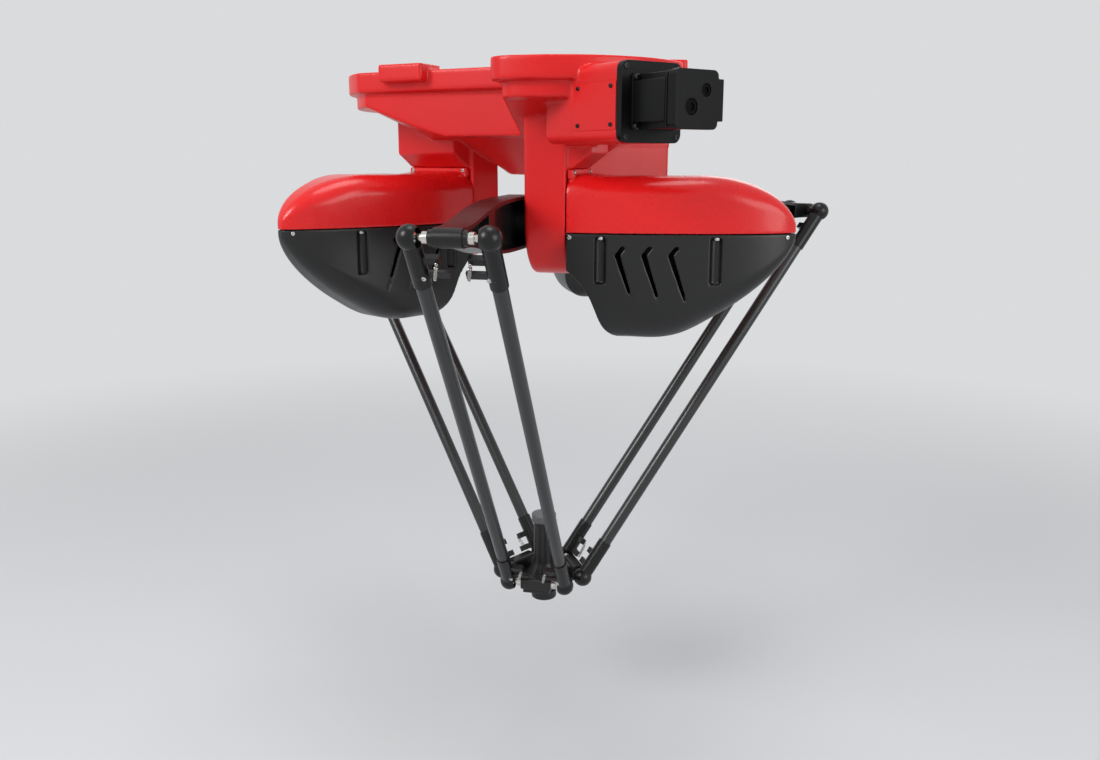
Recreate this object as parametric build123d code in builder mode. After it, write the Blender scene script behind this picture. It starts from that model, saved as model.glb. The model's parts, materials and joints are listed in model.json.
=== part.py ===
from build123d import *
import math
import os

# A ceiling-hung parallel robot. The origin is the middle of the three mounting pads' top plane, +Z is up,
# and the robot hangs below. Arm 1 points along -Y, arms 2 and 3 stand 120 degrees further round.
# In an arm's own frame r runs outwards, t runs sideways along the shoulder shaft, and z is up.

# Linkage
arm_count = 3
shoulder_radius = 128.0
shoulder_drop = 187.0
upper_arm_length = 272.0
forearm_length = 623.6
platform_radius = 45.6
rod_half_spacing = 39.7
ball_radius = 8.0
ball_clearance = 0.2
seat_gap = 0.3

elbow_radius = shoulder_radius + upper_arm_length
forearm_reach = elbow_radius - platform_radius
forearm_drop = math.sqrt(forearm_length**2 - forearm_reach**2)
shoulder_z = -shoulder_drop
platform_z = shoulder_z - forearm_drop

# Base casting
pad_stand = 7.0
rim_thickness = 25.0
skirt_step = 10.0
lobe_centre_r = 105.0
lobe_centre_t = 42.0
lobe_outer_radius = 156.0
lobe_start_t = -4.0
lobe_end_angle = 76.0
lobe_inner_r = 146.0
lobe_start_corner = 24.0
lobe_inner_corner = 14.0
bowl_floor_radius = 45.0
bowl_floor_z = -134.0
bowl_shoulder_radius = 112.0
bowl_shoulder_z = -87.0
skirt_flat_radius = 150.0
skirt_lip_radius = 228.0
skirt_lip_z = -50.0
casting_wall = 9.0
cavity_radius = 104.0
cover_thickness = 4.0
cover_lap = 9.0
cover_screw_count = 6
cover_screw_radius = 1.5
cover_screw_length = 12.0
cover_screw_start = 0.0
service_screw_depth = 8.0
cover_screw_head_radius = 2.4
cover_screw_head = 1.6
cover_screw_socket = 1.1

# Mounting pads
pad_length = 64.0
pad_depth = 46.0
pad_height = 21.0
pad_overhang = 15.0
pad_along = -120.0
pad_hole_spacing = 36.0
pad_hole_radius = 5.5
pad_hole_depth = 28.0
pad_corner = 3.0

# Drive housings
housing_half_width = 63.0
housing_inner_t = 20.0
housing_outer_t = 69.0
housing_top_z = -98.0
housing_edge = 4.0
ledge_t = 98.0
ledge_end_step = 5.0
ledge_face_drop = 107.0
ledge_foot_drop = 125.0
ledge_foot_t = 75.0
reducer_radius = 42.0
reducer_lip_radius = 48.0
reducer_lip = 5.0
fit_clearance = 0.1
running_clearance = 0.06

# Servo motor inside each pod
motor_frame = 80.0
motor_length = 96.0
motor_corner = 8.0
encoder_frame = 66.0
encoder_length = 44.0
motor_shaft_radius = 9.5
motor_shaft_length = 30.0

# Pods
pod_seam = 0.8
parting_drop = 10.0
pod_wall = 3.0
pod_top_rise = 54.0
pod_nose_t = 327.0
pod_half_width = 64.0
pod_slope_t = 225.0
pod_corner = 24.0
pod_floor_corner = 42.0
pod_stations = 12
pod_last_angle = 84.0
strip_rise = 62.0
strip_t = 77.0
arch_foot_t = 127.0
pod_floor_t = 185.0
pod_floor_drop = 134.0
slot_pitch = 30.0
slot_first_t = 126.0
slot_count = 3
slot_knee_drop = 34.0
slot_bend = 10.0
slot_lean = 8.0
slot_width = 5.5
slot_run = 21.0
slot_tip = 2.0
slot_foot_drop = 91.0
pod_screw_places = [109.5, 239.0]
pod_screw_radius = 2.1
pod_screw_head_radius = 3.6
pod_screw_head = 3.0
pod_screw_inset = 2.5
pod_screw_top = 4.0
pod_groove_radius = 6.5
pod_groove_top = 14.0
pod_groove_foot = 70.0
pod_boss_radius = 6.5
pod_boss_top = 8.0

# Upper arm
arm_width = 30.0
hub_radius = 31.0
elbow_boss_radius = 10.0
elbow_step_radius = 8.0
elbow_step_half = 20.0
arm_wall = 4.0
arm_web = 6.0
arm_rib_from_elbow = 96.0
arm_rib_width = 22.0
arm_root_edge = [(51.0, 30.5), (127.0, 28.3)]
arm_tip_edge = [(87.0, 21.6), (21.0, 10.6)]
arm_tip_solid = 24.0
hub_bolt_circle = 20.0
hub_bolt_count = 6
hub_bolt_radius = 2.5
hub_bolt_grip = 4.0
hub_bolt_head_radius = 4.3
hub_bolt_head = 5.0
hub_bolt_socket = 2.3
output_flange_radius = 29.0
output_flange_depth = 5.0
journal_radius = 16.0
journal_length = 12.0

# Ball studs
collar_radius = 6.2
collar_length = 6.0
neck_radius = 3.6
shank_radius = 4.0
shank_length = 14.0

# Forearm rods
tube_radius = 8.2
tube_bore_radius = 6.6
tube_start = 52.0
tube_grip = 16.0
cup_radius = 13.0
cup_mouth = 1.5
cup_opening_radius = 10.0
fitting_radius = 9.6
fitting_length = 60.0
lug_far = 27.0
lever_far = 46.0
lug_length = 25.0
lever_length = 31.0
lug_near_platform = 35.0
lever_near_platform = 16.0
lug_width = 8.0
lug_thickness = 7.0
lever_thickness = 4.0
lever_root = 4.0
lever_pin_radius = 1.5
hook_inset = 3.5
spring_radius = 2.6
spring_wire = 0.7
spring_pitch = 1.9

# Moving platform
bar_half_length = 21.5
bar_radius = 8.5
bar_corner = 4.0
ledge_half_width = 19.0
ledge_reach = 4.0
bar_clearance = 0.8
plate_thickness = 5.0
plate_radius = 36.0
spindle_radius = 14.6
spindle_rise = 76.0
cone_radius = 28.0
cone_rise = 16.0
boss_drop = 24.0
boss_outer_radius = 20.0
tool_flange_radius = 18.0
tool_flange_drop = 40.0
tool_flange_thickness = 12.0
tool_flange_edge = 0.8
tool_bore_radius = 5.0
tool_pilot_depth = 6.0
tool_bolt_circle_radius = 12.5
tool_bolt_count = 4
tool_bolt_radius = 2.1
spindle_shaft_radius = 7.0
bearing_outer_radius = 11.0
bearing_width = 8.0
cap_radius = 17.6
cap_thickness = 11.0
cap_roof = 4.0
cap_edge = 1.5

# Fourth-axis drive, in a box let into the rim beside arm 1
axis4_angle = -42.0
axis4_offset = -84.0
axis4_z = -58.0
axis4_plate_face = 310.0
axis4_plate_side = 80.0
axis4_plate_thickness = 8.0
axis4_corner = 9.0
axis4_motor_side = 54.0
axis4_motor_length = 55.0
axis4_motor_corner = 6.0
axis4_rear_side = 56.0
axis4_rear_length = 10.0
axis4_shaft_radius = 5.0
axis4_shaft_length = 18.0
axis4_wing = 7.0
axis4_wing_height = 40.0
axis4_socket_depth = 4.0
axis4_sockets = [(-7.0, -7.0, 7.8), (12.0, 9.0, 6.2)]
axis4_bolt_spacing = 68.0
axis4_bolt_radius = 2.0
axis4_bolt_length = 22.0
axis4_bolt_head_radius = 3.2
axis4_bolt_head = 1.0
axis4_box_start = 180.0
gearbox_reach = 205.0
gearbox_radius = 27.0
gearbox_neck_radius = 24.0
gearbox_height = 56.0
pulley_radius = 13.0
pulley_height = 12.0
pulley_hub_radius = 5.0
pulley_rise = 4.0
belt_thickness = 1.6
belt_clearance = 0.3
channel_side_gap = 4.0
output_shaft_radius = 9.0
output_end_radius = 8.0
output_end_length = 16.0
output_relief_radius = 7.2
output_relief = 2.0
output_collar_radius = 12.0
output_collar_height = 6.0
service_plate_length = 70.0
service_plate_height = 48.0
service_plate_thickness = 2.0
service_plate_gap = 0.3
service_plate_corner = 2.0
service_plate_reach = 266.0
service_plate_z = -61.0
service_screw_across = 54.6
service_screw_up = 37.6


def plan(index, r, t):
    turn = math.radians(360 / arm_count * index)
    x, y = t, -r
    return (x * math.cos(turn) - y * math.sin(turn), x * math.sin(turn) + y * math.cos(turn))


def radial_plane(r):
    return Plane.XZ.offset(r)


def side_plane(t):
    return Plane(origin=(t, 0, 0), x_dir=(0, -1, 0), z_dir=(-1, 0, 0))


def rod_plane(t, distance):
    start = Vector(t, -elbow_radius, shoulder_z)
    along = Vector(0, forearm_reach, -forearm_drop).normalized()
    return Plane(origin=start + along * distance, x_dir=(1, 0, 0), z_dir=along)


def axis4_plane(r):
    turn = math.radians(axis4_angle)
    out = (math.cos(turn), math.sin(turn), 0)
    side = (-math.sin(turn), math.cos(turn), 0)
    x = r * out[0] + axis4_offset * side[0]
    y = r * out[1] + axis4_offset * side[1]
    return Plane(origin=(x, y, axis4_z), x_dir=side, z_dir=out)


def save(part, label):
    part.label = label
    export_step(part, f"parts/{label}.step")


def save_three(part, label):
    for index in range(arm_count):
        save(part.rotate(Axis.Z, 360 / arm_count * index), f"{label}_{index + 1}")


# Outline of the base seen from above: three lobes, each an arc, joined by straight edges
def base_outline(inset):
    radius = lobe_outer_radius - inset
    start_t = lobe_start_t + inset
    start_r = lobe_centre_r + math.sqrt(radius**2 - (start_t - lobe_centre_t) ** 2)
    end_turn = math.radians(lobe_end_angle)
    for index in range(arm_count):
        inner = plan(index, lobe_inner_r - inset, start_t)
        start = plan(index, start_r, start_t)
        middle_turn = end_turn / 3
        middle = plan(
            index,
            lobe_centre_r + radius * math.cos(middle_turn),
            lobe_centre_t + radius * math.sin(middle_turn),
        )
        end = plan(
            index,
            lobe_centre_r + radius * math.cos(end_turn),
            lobe_centre_t + radius * math.sin(end_turn),
        )
        Line(inner, start)
        ThreePointArc(start, middle, end)
        Line(end, plan(index + 1, lobe_inner_r - inset, start_t))


def outline_sketch(z, inset):
    with BuildSketch(Plane.XY.offset(z)) as outline:
        with BuildLine():
            base_outline(inset)
        make_face()
        by_radius = outline.vertices().sort_by_distance((0, 0, z))
        fillet(by_radius[:arm_count], lobe_inner_corner)
        by_radius = outline.vertices().sort_by_distance((0, 0, z))
        fillet(by_radius[-arm_count:], lobe_start_corner)
    return outline.sketch


os.makedirs("parts", exist_ok=True)
rim_top = -pad_stand
rim_bottom = rim_top - rim_thickness
cover_screw_circle = cavity_radius + cover_lap / 2

# Straight edge of the rim between one lobe's end and the next lobe, which carries a pad
lobe_end_turn = math.radians(lobe_end_angle)
lobe_end_r = lobe_centre_r + lobe_outer_radius * math.cos(lobe_end_turn)
lobe_end_t = lobe_centre_t + lobe_outer_radius * math.sin(lobe_end_turn)
edge_from = Vector(*plan(0, lobe_end_r, lobe_end_t))
edge_to = Vector(*plan(1, lobe_inner_r, lobe_start_t))
edge_along = (edge_to - edge_from).normalized()
edge_out = Vector(edge_along.Y, -edge_along.X)
edge_distance = edge_from.dot(edge_out)
pad_middle = edge_distance + pad_overhang - pad_depth / 2
pad_plane = Plane(
    origin=(edge_out * pad_middle + edge_along * pad_along), x_dir=edge_along, z_dir=(0, 0, 1)
)

# Face of the fourth-axis box that carries the service plate
box_frame = axis4_plane(service_plate_reach)
service_depth = axis4_plate_side / 2 - service_plate_thickness
service_plane = Plane(
    origin=box_frame.origin - box_frame.x_dir * service_depth + Vector(0, 0, service_plate_z - axis4_z),
    x_dir=box_frame.z_dir,
    z_dir=-box_frame.x_dir,
)

# Underside of the casting: a bowl in the middle and a shallow cone under the lobes
with BuildPart() as underside:
    with BuildSketch(Plane.XZ):
        with BuildLine():
            Polyline(
                (0, rim_bottom + 1),
                (0, bowl_floor_z),
                (bowl_floor_radius, bowl_floor_z),
                (bowl_shoulder_radius, bowl_shoulder_z),
                (skirt_flat_radius, bowl_shoulder_z),
                (skirt_lip_radius, skirt_lip_z),
                (2 * skirt_lip_radius, skirt_lip_z),
                (2 * skirt_lip_radius, rim_bottom + 1),
                close=True,
            )
        make_face()
    revolve(axis=Axis.Z)

with BuildPart() as skirt:
    add(outline_sketch(rim_bottom, skirt_step))
    extrude(amount=bowl_floor_z - rim_bottom)
    add(underside.part, mode=Mode.INTERSECT)


# One mounting pad, seated on the rim's straight edge
with BuildPart() as pad:
    with BuildSketch(pad_plane):
        RectangleRounded(pad_length, pad_depth, pad_corner)
    extrude(amount=-pad_height)

with BuildPart() as pad_holes:
    with BuildSketch(pad_plane):
        with GridLocations(pad_hole_spacing, 0, 2, 1):
            Circle(pad_hole_radius)
    extrude(amount=-pad_hole_depth)

housing_inner_r = shoulder_radius - housing_half_width
housing_outer_r = shoulder_radius + housing_half_width
ledge_inner_r = housing_inner_r + ledge_end_step
ledge_outer_r = housing_outer_r - ledge_end_step

# Stub under the base that one drive housing is bolted to
with BuildPart() as stub:
    with BuildSketch(Plane.XY.offset(housing_top_z)):
        with BuildLine():
            Polyline(
                (housing_inner_t, -housing_inner_r),
                (housing_outer_t, -housing_inner_r),
                (housing_outer_t, -ledge_inner_r),
                (ledge_t, -ledge_inner_r),
                (ledge_t, -ledge_outer_r),
                (housing_outer_t, -ledge_outer_r),
                (housing_outer_t, -housing_outer_r),
                (housing_inner_t, -housing_outer_r),
                close=True,
            )
        make_face()
    extrude(amount=skirt_lip_z - housing_top_z)

axis4_box_end = axis4_plate_face - axis4_plate_thickness
cavity_floor_z = bowl_floor_z + casting_wall
cavity_top = rim_top - cover_thickness
channel_half = pulley_radius + belt_thickness + channel_side_gap
gearbox_middle = axis4_plane(gearbox_reach).origin
gearbox_top = axis4_z + gearbox_height / 2
channel_plane = Plane(
    origin=(gearbox_middle.X / 2, gearbox_middle.Y / 2, rim_top),
    x_dir=(gearbox_middle.X, gearbox_middle.Y, 0),
    z_dir=(0, 0, 1),
)
belt_centres = math.hypot(gearbox_middle.X, gearbox_middle.Y)
pulley_bottom = gearbox_top + pulley_rise


def keyhole(plane, radius, half_width):
    with BuildSketch(plane) as shape:
        with Locations((-belt_centres / 2, 0)):
            Circle(radius)
        SlotCenterToCenter(belt_centres, 2 * half_width)
    return shape.sketch


with BuildPart() as base_casting:
    add(outline_sketch(rim_top, 0))
    extrude(amount=-rim_thickness)
    add(skirt.part)
    for index in range(arm_count):
        turn = 360 / arm_count * index
        add(pad.part.rotate(Axis.Z, turn))
        add(stub.part.rotate(Axis.Z, turn))
    with BuildSketch(axis4_plane(axis4_box_start)):
        RectangleRounded(axis4_plate_side, axis4_plate_side, axis4_corner)
    extrude(amount=axis4_box_end - axis4_box_start)
    with BuildSketch(Plane.XZ):
        with BuildLine():
            Polyline(
                (0, rim_top),
                (cavity_radius, rim_top),
                (cavity_radius, bowl_shoulder_z + casting_wall),
                (bowl_floor_radius, cavity_floor_z),
                (0, cavity_floor_z),
                close=True,
            )
        make_face()
    revolve(axis=Axis.Z, mode=Mode.SUBTRACT)
    add(keyhole(channel_plane, cavity_radius + cover_lap, channel_half + cover_lap))
    extrude(amount=-cover_thickness, mode=Mode.SUBTRACT)
    add(keyhole(channel_plane, cavity_radius, channel_half))
    extrude(amount=gearbox_top - rim_top, mode=Mode.SUBTRACT)
    with BuildSketch(Plane(origin=(gearbox_middle.X, gearbox_middle.Y, gearbox_top))):
        Circle(gearbox_radius + fit_clearance)
    extrude(amount=-gearbox_height - fit_clearance, mode=Mode.SUBTRACT)
    with BuildSketch(axis4_plane(gearbox_reach)):
        Circle(gearbox_neck_radius + fit_clearance)
    extrude(amount=axis4_box_end - gearbox_reach, mode=Mode.SUBTRACT)
    with BuildSketch(Plane.XY.offset(cavity_floor_z)):
        Circle(output_shaft_radius + running_clearance)
    extrude(amount=-casting_wall, mode=Mode.SUBTRACT)
    for index in range(arm_count):
        turn = 360 / arm_count * index
        add(pad_holes.part.rotate(Axis.Z, turn), mode=Mode.SUBTRACT)
    with BuildSketch(Plane.XY.offset(cavity_top)):
        with PolarLocations(cover_screw_circle, cover_screw_count, start_angle=cover_screw_start):
            Circle(cover_screw_radius + fit_clearance)
    extrude(amount=-cover_screw_length, mode=Mode.SUBTRACT)
    with BuildSketch(service_plane):
        RectangleRounded(
            service_plate_length + 2 * service_plate_gap,
            service_plate_height + 2 * service_plate_gap,
            service_plate_corner,
        )
    extrude(amount=service_plate_thickness, mode=Mode.SUBTRACT)
    with BuildSketch(service_plane):
        with GridLocations(service_screw_across, service_screw_up, 2, 2):
            Circle(cover_screw_radius + fit_clearance)
    extrude(amount=-service_screw_depth, mode=Mode.SUBTRACT)
    with BuildSketch(axis4_plane(axis4_box_end)):
        with GridLocations(axis4_bolt_spacing, axis4_bolt_spacing, 2, 2):
            Circle(axis4_bolt_radius + fit_clearance)
    extrude(amount=-axis4_bolt_length, mode=Mode.SUBTRACT)
save(base_casting.part, "base_casting")

# Lid over the cavity and the belt channel, let in flush with the top of the rim
with BuildPart() as top_cover:
    lap = cover_lap - fit_clearance
    add(keyhole(channel_plane, cavity_radius + lap, channel_half + lap))
    extrude(amount=-cover_thickness)
    with BuildSketch(Plane.XY.offset(cavity_top)):
        with PolarLocations(cover_screw_circle, cover_screw_count, start_angle=cover_screw_start):
            Circle(cover_screw_radius + fit_clearance)
    extrude(amount=cover_thickness, mode=Mode.SUBTRACT)
save(top_cover.part, "top_cover_plate")

# Service plate let in flush with the side of the fourth-axis box
with BuildPart() as service_plate:
    with BuildSketch(service_plane):
        RectangleRounded(service_plate_length, service_plate_height, service_plate_corner)
        with GridLocations(service_screw_across, service_screw_up, 2, 2):
            Circle(cover_screw_radius + fit_clearance, mode=Mode.SUBTRACT)
    extrude(amount=service_plate_thickness)
save(service_plate.part, "axis4_cover_plate")


# Adapter plate between the box and the fourth-axis motor
with BuildPart() as adapter_plate:
    with BuildSketch(axis4_plane(axis4_box_end)):
        RectangleRounded(axis4_plate_side, axis4_plate_side, axis4_corner)
        Circle(axis4_shaft_radius + channel_side_gap, mode=Mode.SUBTRACT)
        with GridLocations(axis4_bolt_spacing, axis4_bolt_spacing, 2, 2):
            Circle(axis4_bolt_radius + fit_clearance, mode=Mode.SUBTRACT)
    extrude(amount=axis4_plate_thickness)
save(adapter_plate.part, "axis4_adapter_plate")

# Fourth-axis servo motor: a ribbed body with its shaft, and a rear cover with two connector sockets
axis4_motor_end = axis4_plate_face + axis4_motor_length
with BuildPart() as axis4_motor:
    with BuildSketch(axis4_plane(axis4_plate_face)):
        RectangleRounded(axis4_motor_side, axis4_motor_side, axis4_motor_corner)
    extrude(amount=axis4_motor_length)
    with BuildSketch(axis4_plane(axis4_plate_face)):
        Circle(axis4_shaft_radius)
    extrude(amount=-axis4_plate_thickness - axis4_shaft_length)
save(axis4_motor.part, "axis4_motor_body")

with BuildPart() as axis4_rear:
    with BuildSketch(axis4_plane(axis4_motor_end)):
        RectangleRounded(axis4_rear_side, axis4_rear_side, axis4_motor_corner)
        with Locations((axis4_rear_side / 2, 0)):
            Rectangle(2 * axis4_wing, axis4_wing_height)
    extrude(amount=axis4_rear_length)
    with BuildSketch(axis4_plane(axis4_motor_end + axis4_rear_length)):
        for across, up, radius in axis4_sockets:
            with Locations((across, up)):
                Circle(radius)
    extrude(amount=-axis4_socket_depth, mode=Mode.SUBTRACT)
save(axis4_rear.part, "axis4_motor_rear_cover")

# Right-angle gearbox, its shaft standing up into the belt channel
with BuildPart() as gearbox:
    with BuildSketch(Plane(origin=(gearbox_middle.X, gearbox_middle.Y, gearbox_top))):
        Circle(gearbox_radius)
    extrude(amount=-gearbox_height)
    with BuildSketch(axis4_plane(gearbox_reach)):
        Circle(gearbox_neck_radius)
    extrude(amount=axis4_box_end - gearbox_reach)
    with BuildSketch(axis4_plane(axis4_box_end)):
        Circle(axis4_shaft_radius + running_clearance)
    extrude(amount=-axis4_shaft_length - running_clearance, mode=Mode.SUBTRACT)
    with BuildSketch(Plane(origin=(gearbox_middle.X, gearbox_middle.Y, gearbox_top))):
        Circle(pulley_hub_radius + running_clearance)
    extrude(amount=-gearbox_height / 2, mode=Mode.SUBTRACT)
save(gearbox.part, "axis4_gearbox")


def toothed_pulley(x, y, low, shaft_radius):
    with BuildPart() as pulley:
        with BuildSketch(Plane(origin=(x, y, pulley_bottom))):
            Circle(pulley_radius)
        extrude(amount=pulley_height)
        with BuildSketch(Plane(origin=(x, y, low))):
            Circle(shaft_radius)
        extrude(amount=pulley_bottom - low)
    return pulley.part


save(
    toothed_pulley(
        gearbox_middle.X, gearbox_middle.Y, gearbox_top - gearbox_height / 2 + seat_gap, pulley_hub_radius
    ),
    "axis4_drive_pulley",
)

with BuildPart() as output_shaft:
    add(toothed_pulley(0, 0, bowl_floor_z, output_shaft_radius))
    with BuildSketch(Plane.XY.offset(cavity_floor_z + seat_gap)):
        Circle(output_collar_radius)
    extrude(amount=output_collar_height)
    with BuildSketch(Plane.XY.offset(bowl_floor_z)):
        Circle(output_relief_radius)
    extrude(amount=-output_relief)
    with BuildSketch(Plane.XY.offset(bowl_floor_z - output_relief)):
        Circle(output_end_radius)
    extrude(amount=-output_end_length)
save(output_shaft.part, "axis4_output_shaft")

with BuildPart() as belt:
    with BuildSketch(channel_plane.offset(pulley_bottom - rim_top)):
        inner = pulley_radius + belt_clearance
        SlotCenterToCenter(belt_centres, 2 * (inner + belt_thickness))
        SlotCenterToCenter(belt_centres, 2 * inner, mode=Mode.SUBTRACT)
    extrude(amount=pulley_height)
save(belt.part, "axis4_belt")

# Drive housing: a thick web around the shoulder, with the ledge that the pod hangs under
with BuildPart() as drive_housing:
    with BuildSketch(side_plane(housing_inner_t)):
        with BuildLine():
            Polyline(
                (housing_outer_r, shoulder_z),
                (housing_outer_r, housing_top_z),
                (housing_inner_r, housing_top_z),
                (housing_inner_r, shoulder_z),
            )
            ThreePointArc(
                (housing_inner_r, shoulder_z),
                (shoulder_radius, shoulder_z - housing_half_width),
                (housing_outer_r, shoulder_z),
            )
        make_face()
    extrude(amount=housing_inner_t - housing_outer_t)
    fillet(drive_housing.faces().sort_by(Axis.X)[0].edges(), housing_edge)
    with BuildSketch(radial_plane(ledge_outer_r)):
        with BuildLine():
            Polyline(
                (housing_outer_t, housing_top_z),
                (ledge_t, housing_top_z),
                (ledge_t, -ledge_face_drop),
                (ledge_foot_t, -ledge_foot_drop),
                (housing_outer_t, -ledge_foot_drop),
                close=True,
            )
        make_face()
    extrude(amount=ledge_inner_r - ledge_outer_r)
    with BuildSketch(side_plane(housing_inner_t)):
        with Locations((shoulder_radius, shoulder_z)):
            Circle(reducer_radius + fit_clearance)
    extrude(amount=housing_inner_t - housing_outer_t, mode=Mode.SUBTRACT)
    add(underside.part, mode=Mode.SUBTRACT)
save_three(drive_housing.part, "drive_housing")


def shoulder_disc(start_t, end_t, radius):
    with BuildPart() as disc:
        with BuildSketch(side_plane(start_t)):
            with Locations((shoulder_radius, shoulder_z)):
                Circle(radius)
        extrude(amount=start_t - end_t)
    return disc.part


# Reducer in the housing's bore, with its lip on the outer face
arm_half = arm_width / 2
flange_end_t = housing_inner_t + output_flange_depth
reducer_start_t = flange_end_t + seat_gap
reducer_end_t = housing_outer_t + reducer_lip
with BuildPart() as reducer:
    add(shoulder_disc(reducer_start_t, housing_outer_t, reducer_radius))
    add(shoulder_disc(housing_outer_t, reducer_end_t, reducer_lip_radius))
    journal_end_t = reducer_start_t + journal_length + seat_gap
    journal_bore = journal_radius + running_clearance
    add(shoulder_disc(reducer_start_t, journal_end_t, journal_bore), mode=Mode.SUBTRACT)
    shaft_tip_t = reducer_end_t - motor_shaft_length - seat_gap
    shaft_bore = motor_shaft_radius + running_clearance
    add(shoulder_disc(shaft_tip_t, reducer_end_t, shaft_bore), mode=Mode.SUBTRACT)
save_three(reducer.part, "reducer")

# Output flange between the reducer and the upper arm's hub
with BuildPart() as output_flange:
    add(shoulder_disc(arm_half, flange_end_t, output_flange_radius))
    add(shoulder_disc(flange_end_t, reducer_start_t + journal_length, journal_radius))
    with BuildSketch(side_plane(arm_half)):
        with Locations((shoulder_radius, shoulder_z)):
            with PolarLocations(hub_bolt_circle, hub_bolt_count):
                Circle(hub_bolt_radius + fit_clearance)
    extrude(amount=-hub_bolt_grip, mode=Mode.SUBTRACT)
save_three(output_flange.part, "output_flange")

# Servo motor: flange, body, encoder and shaft in one bought unit
motor_end_t = reducer_end_t + motor_length
with BuildPart() as motor:
    with BuildSketch(side_plane(reducer_end_t)):
        with Locations((shoulder_radius, shoulder_z)):
            RectangleRounded(motor_frame, motor_frame, motor_corner)
    extrude(amount=-motor_length)
    with BuildSketch(side_plane(motor_end_t)):
        with Locations((shoulder_radius, shoulder_z)):
            RectangleRounded(encoder_frame, encoder_frame, motor_corner)
    extrude(amount=-encoder_length)
    add(shoulder_disc(reducer_end_t - motor_shaft_length, reducer_end_t, motor_shaft_radius))
save_three(motor.part, "servo_motor")


pod_start_t = housing_outer_t + pod_seam
parting_z = shoulder_z - parting_drop


# Fraction of a full section left at t, from 1 at start to 0 at the nose
def pod_taper(t, start, power, roundness):
    share = max(0.0, (t - start) / (pod_nose_t - start))
    return (1 - share**power) ** roundness


# Closed loft of one pod half, drawn in by inset on its sides and its outer edge
def pod_half(top_side, inset):
    seam = pod_seam / 2 if top_side else -pod_seam / 2
    with BuildPart() as half:
        for step in range(pod_stations - (1 if inset else 0)):
            turn = math.radians(pod_last_angle * step / (pod_stations - 1))
            t = pod_start_t + (pod_nose_t - pod_start_t) * math.sin(turn)
            half_width = pod_half_width * pod_taper(t, pod_start_t, 2, 0.6)
            if top_side:
                height = (pod_top_rise + parting_drop) * pod_taper(t, pod_slope_t, 1.8, 0.5)
            else:
                height = (pod_floor_drop - parting_drop) * pod_taper(t, pod_floor_t, 1.1, 0.6)
            edge = pod_corner if top_side else pod_floor_corner
            corner = min(edge, 0.7 * half_width, 0.9 * height) - inset
            outer_z = parting_z + (height - inset) * (1 if top_side else -1)
            with BuildSketch(side_plane(t)) as section:
                with Locations((shoulder_radius, (outer_z + parting_z + seam) / 2)):
                    Rectangle(2 * (half_width - inset), abs(outer_z - parting_z - seam))
                rows = section.vertices().group_by(Axis.Y)
                fillet(rows[-1 if top_side else 0], corner)
        loft()
    return half.part


def pod_arch(shift):
    points = [
        (pod_start_t, -53.0),
        (80.0, -61.5),
        (95.0, -80.0),
        (105.0, -103.0),
        (113.0, -122.0),
        (arch_foot_t, -pod_floor_drop),
    ]
    with BuildPart() as arch:
        with BuildSketch(radial_plane(housing_outer_r + cavity_radius)):
            with BuildLine():
                moved = [(t + shift, shoulder_z + z + shift) for t, z in points]
                low = shoulder_z - 2 * pod_floor_drop
                Spline(*moved)
                Polyline(
                    moved[-1],
                    (moved[-1][0], low),
                    (housing_inner_t - cavity_radius, low),
                    (housing_inner_t - cavity_radius, moved[0][1]),
                    moved[0],
                )
            make_face()
        extrude(amount=-housing_outer_r - cavity_radius)
    return arch.part


# Upright cylinders on the pod's side walls where its screws stand
def pod_columns(radius, low, high, inset):
    with BuildPart() as columns:
        for t in pod_screw_places:
            reach = pod_half_width * pod_taper(t, pod_start_t, 2, 0.6) - inset
            with BuildSketch(Plane.XY.offset(shoulder_z + low)):
                with Locations((t, -shoulder_radius - reach), (t, -shoulder_radius + reach)):
                    Circle(radius)
            extrude(amount=high - low)
    return columns.part


with BuildPart() as pod_top_bosses:
    add(pod_half(True, 0))
    boss = pod_columns(pod_boss_radius, -parting_drop, pod_boss_top, pod_screw_inset)
    add(boss, mode=Mode.INTERSECT)

with BuildPart() as pod_bottom_columns:
    add(pod_half(False, 0))
    column = pod_groove_radius + pod_wall
    add(pod_columns(column, -pod_groove_foot, -parting_drop, 0), mode=Mode.INTERSECT)

# Slanted cooling slots, each bent once near its top
with BuildPart() as pod_slots:
    with BuildSketch(radial_plane(housing_outer_r)):
        for index in range(slot_count):
            with BuildLine():
                first = slot_first_t + slot_pitch * index
                knee_z = shoulder_z - slot_knee_drop
                Polyline(
                    (first + slot_lean, knee_z + slot_bend),
                    (first + slot_lean + slot_width, knee_z + slot_bend),
                    (first + slot_width, knee_z),
                    (first + slot_run + slot_tip, shoulder_z - slot_foot_drop),
                    (first + slot_run, shoulder_z - slot_foot_drop),
                    (first, knee_z),
                    close=True,
                )
            make_face()
    extrude(amount=housing_inner_r - housing_outer_r)

# Upper cover of the pod, with the strip that is screwed up against the ledge
with BuildPart() as pod_top:
    add(pod_half(True, 0))
    add(pod_half(True, pod_wall), mode=Mode.SUBTRACT)
    add(pod_top_bosses.part)
    with BuildSketch(radial_plane(ledge_outer_r)):
        with BuildLine():
            strip_top = shoulder_z + strip_rise - seat_gap
            strip_foot = shoulder_z + pod_top_rise - pod_wall
            Polyline(
                (pod_start_t, strip_foot),
                (pod_start_t, strip_top),
                (strip_t, strip_top),
                (strip_t, strip_foot),
                close=True,
            )
        make_face()
    extrude(amount=ledge_inner_r - ledge_outer_r)
    screw_hole = pod_columns(pod_screw_radius, -parting_drop, pod_screw_top, pod_screw_inset)
    add(screw_hole, mode=Mode.SUBTRACT)
save_three(pod_top.part, "pod_top_cover")

with BuildPart() as pod_space:
    add(pod_half(False, pod_wall))
    add(pod_arch(pod_wall), mode=Mode.SUBTRACT)

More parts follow.
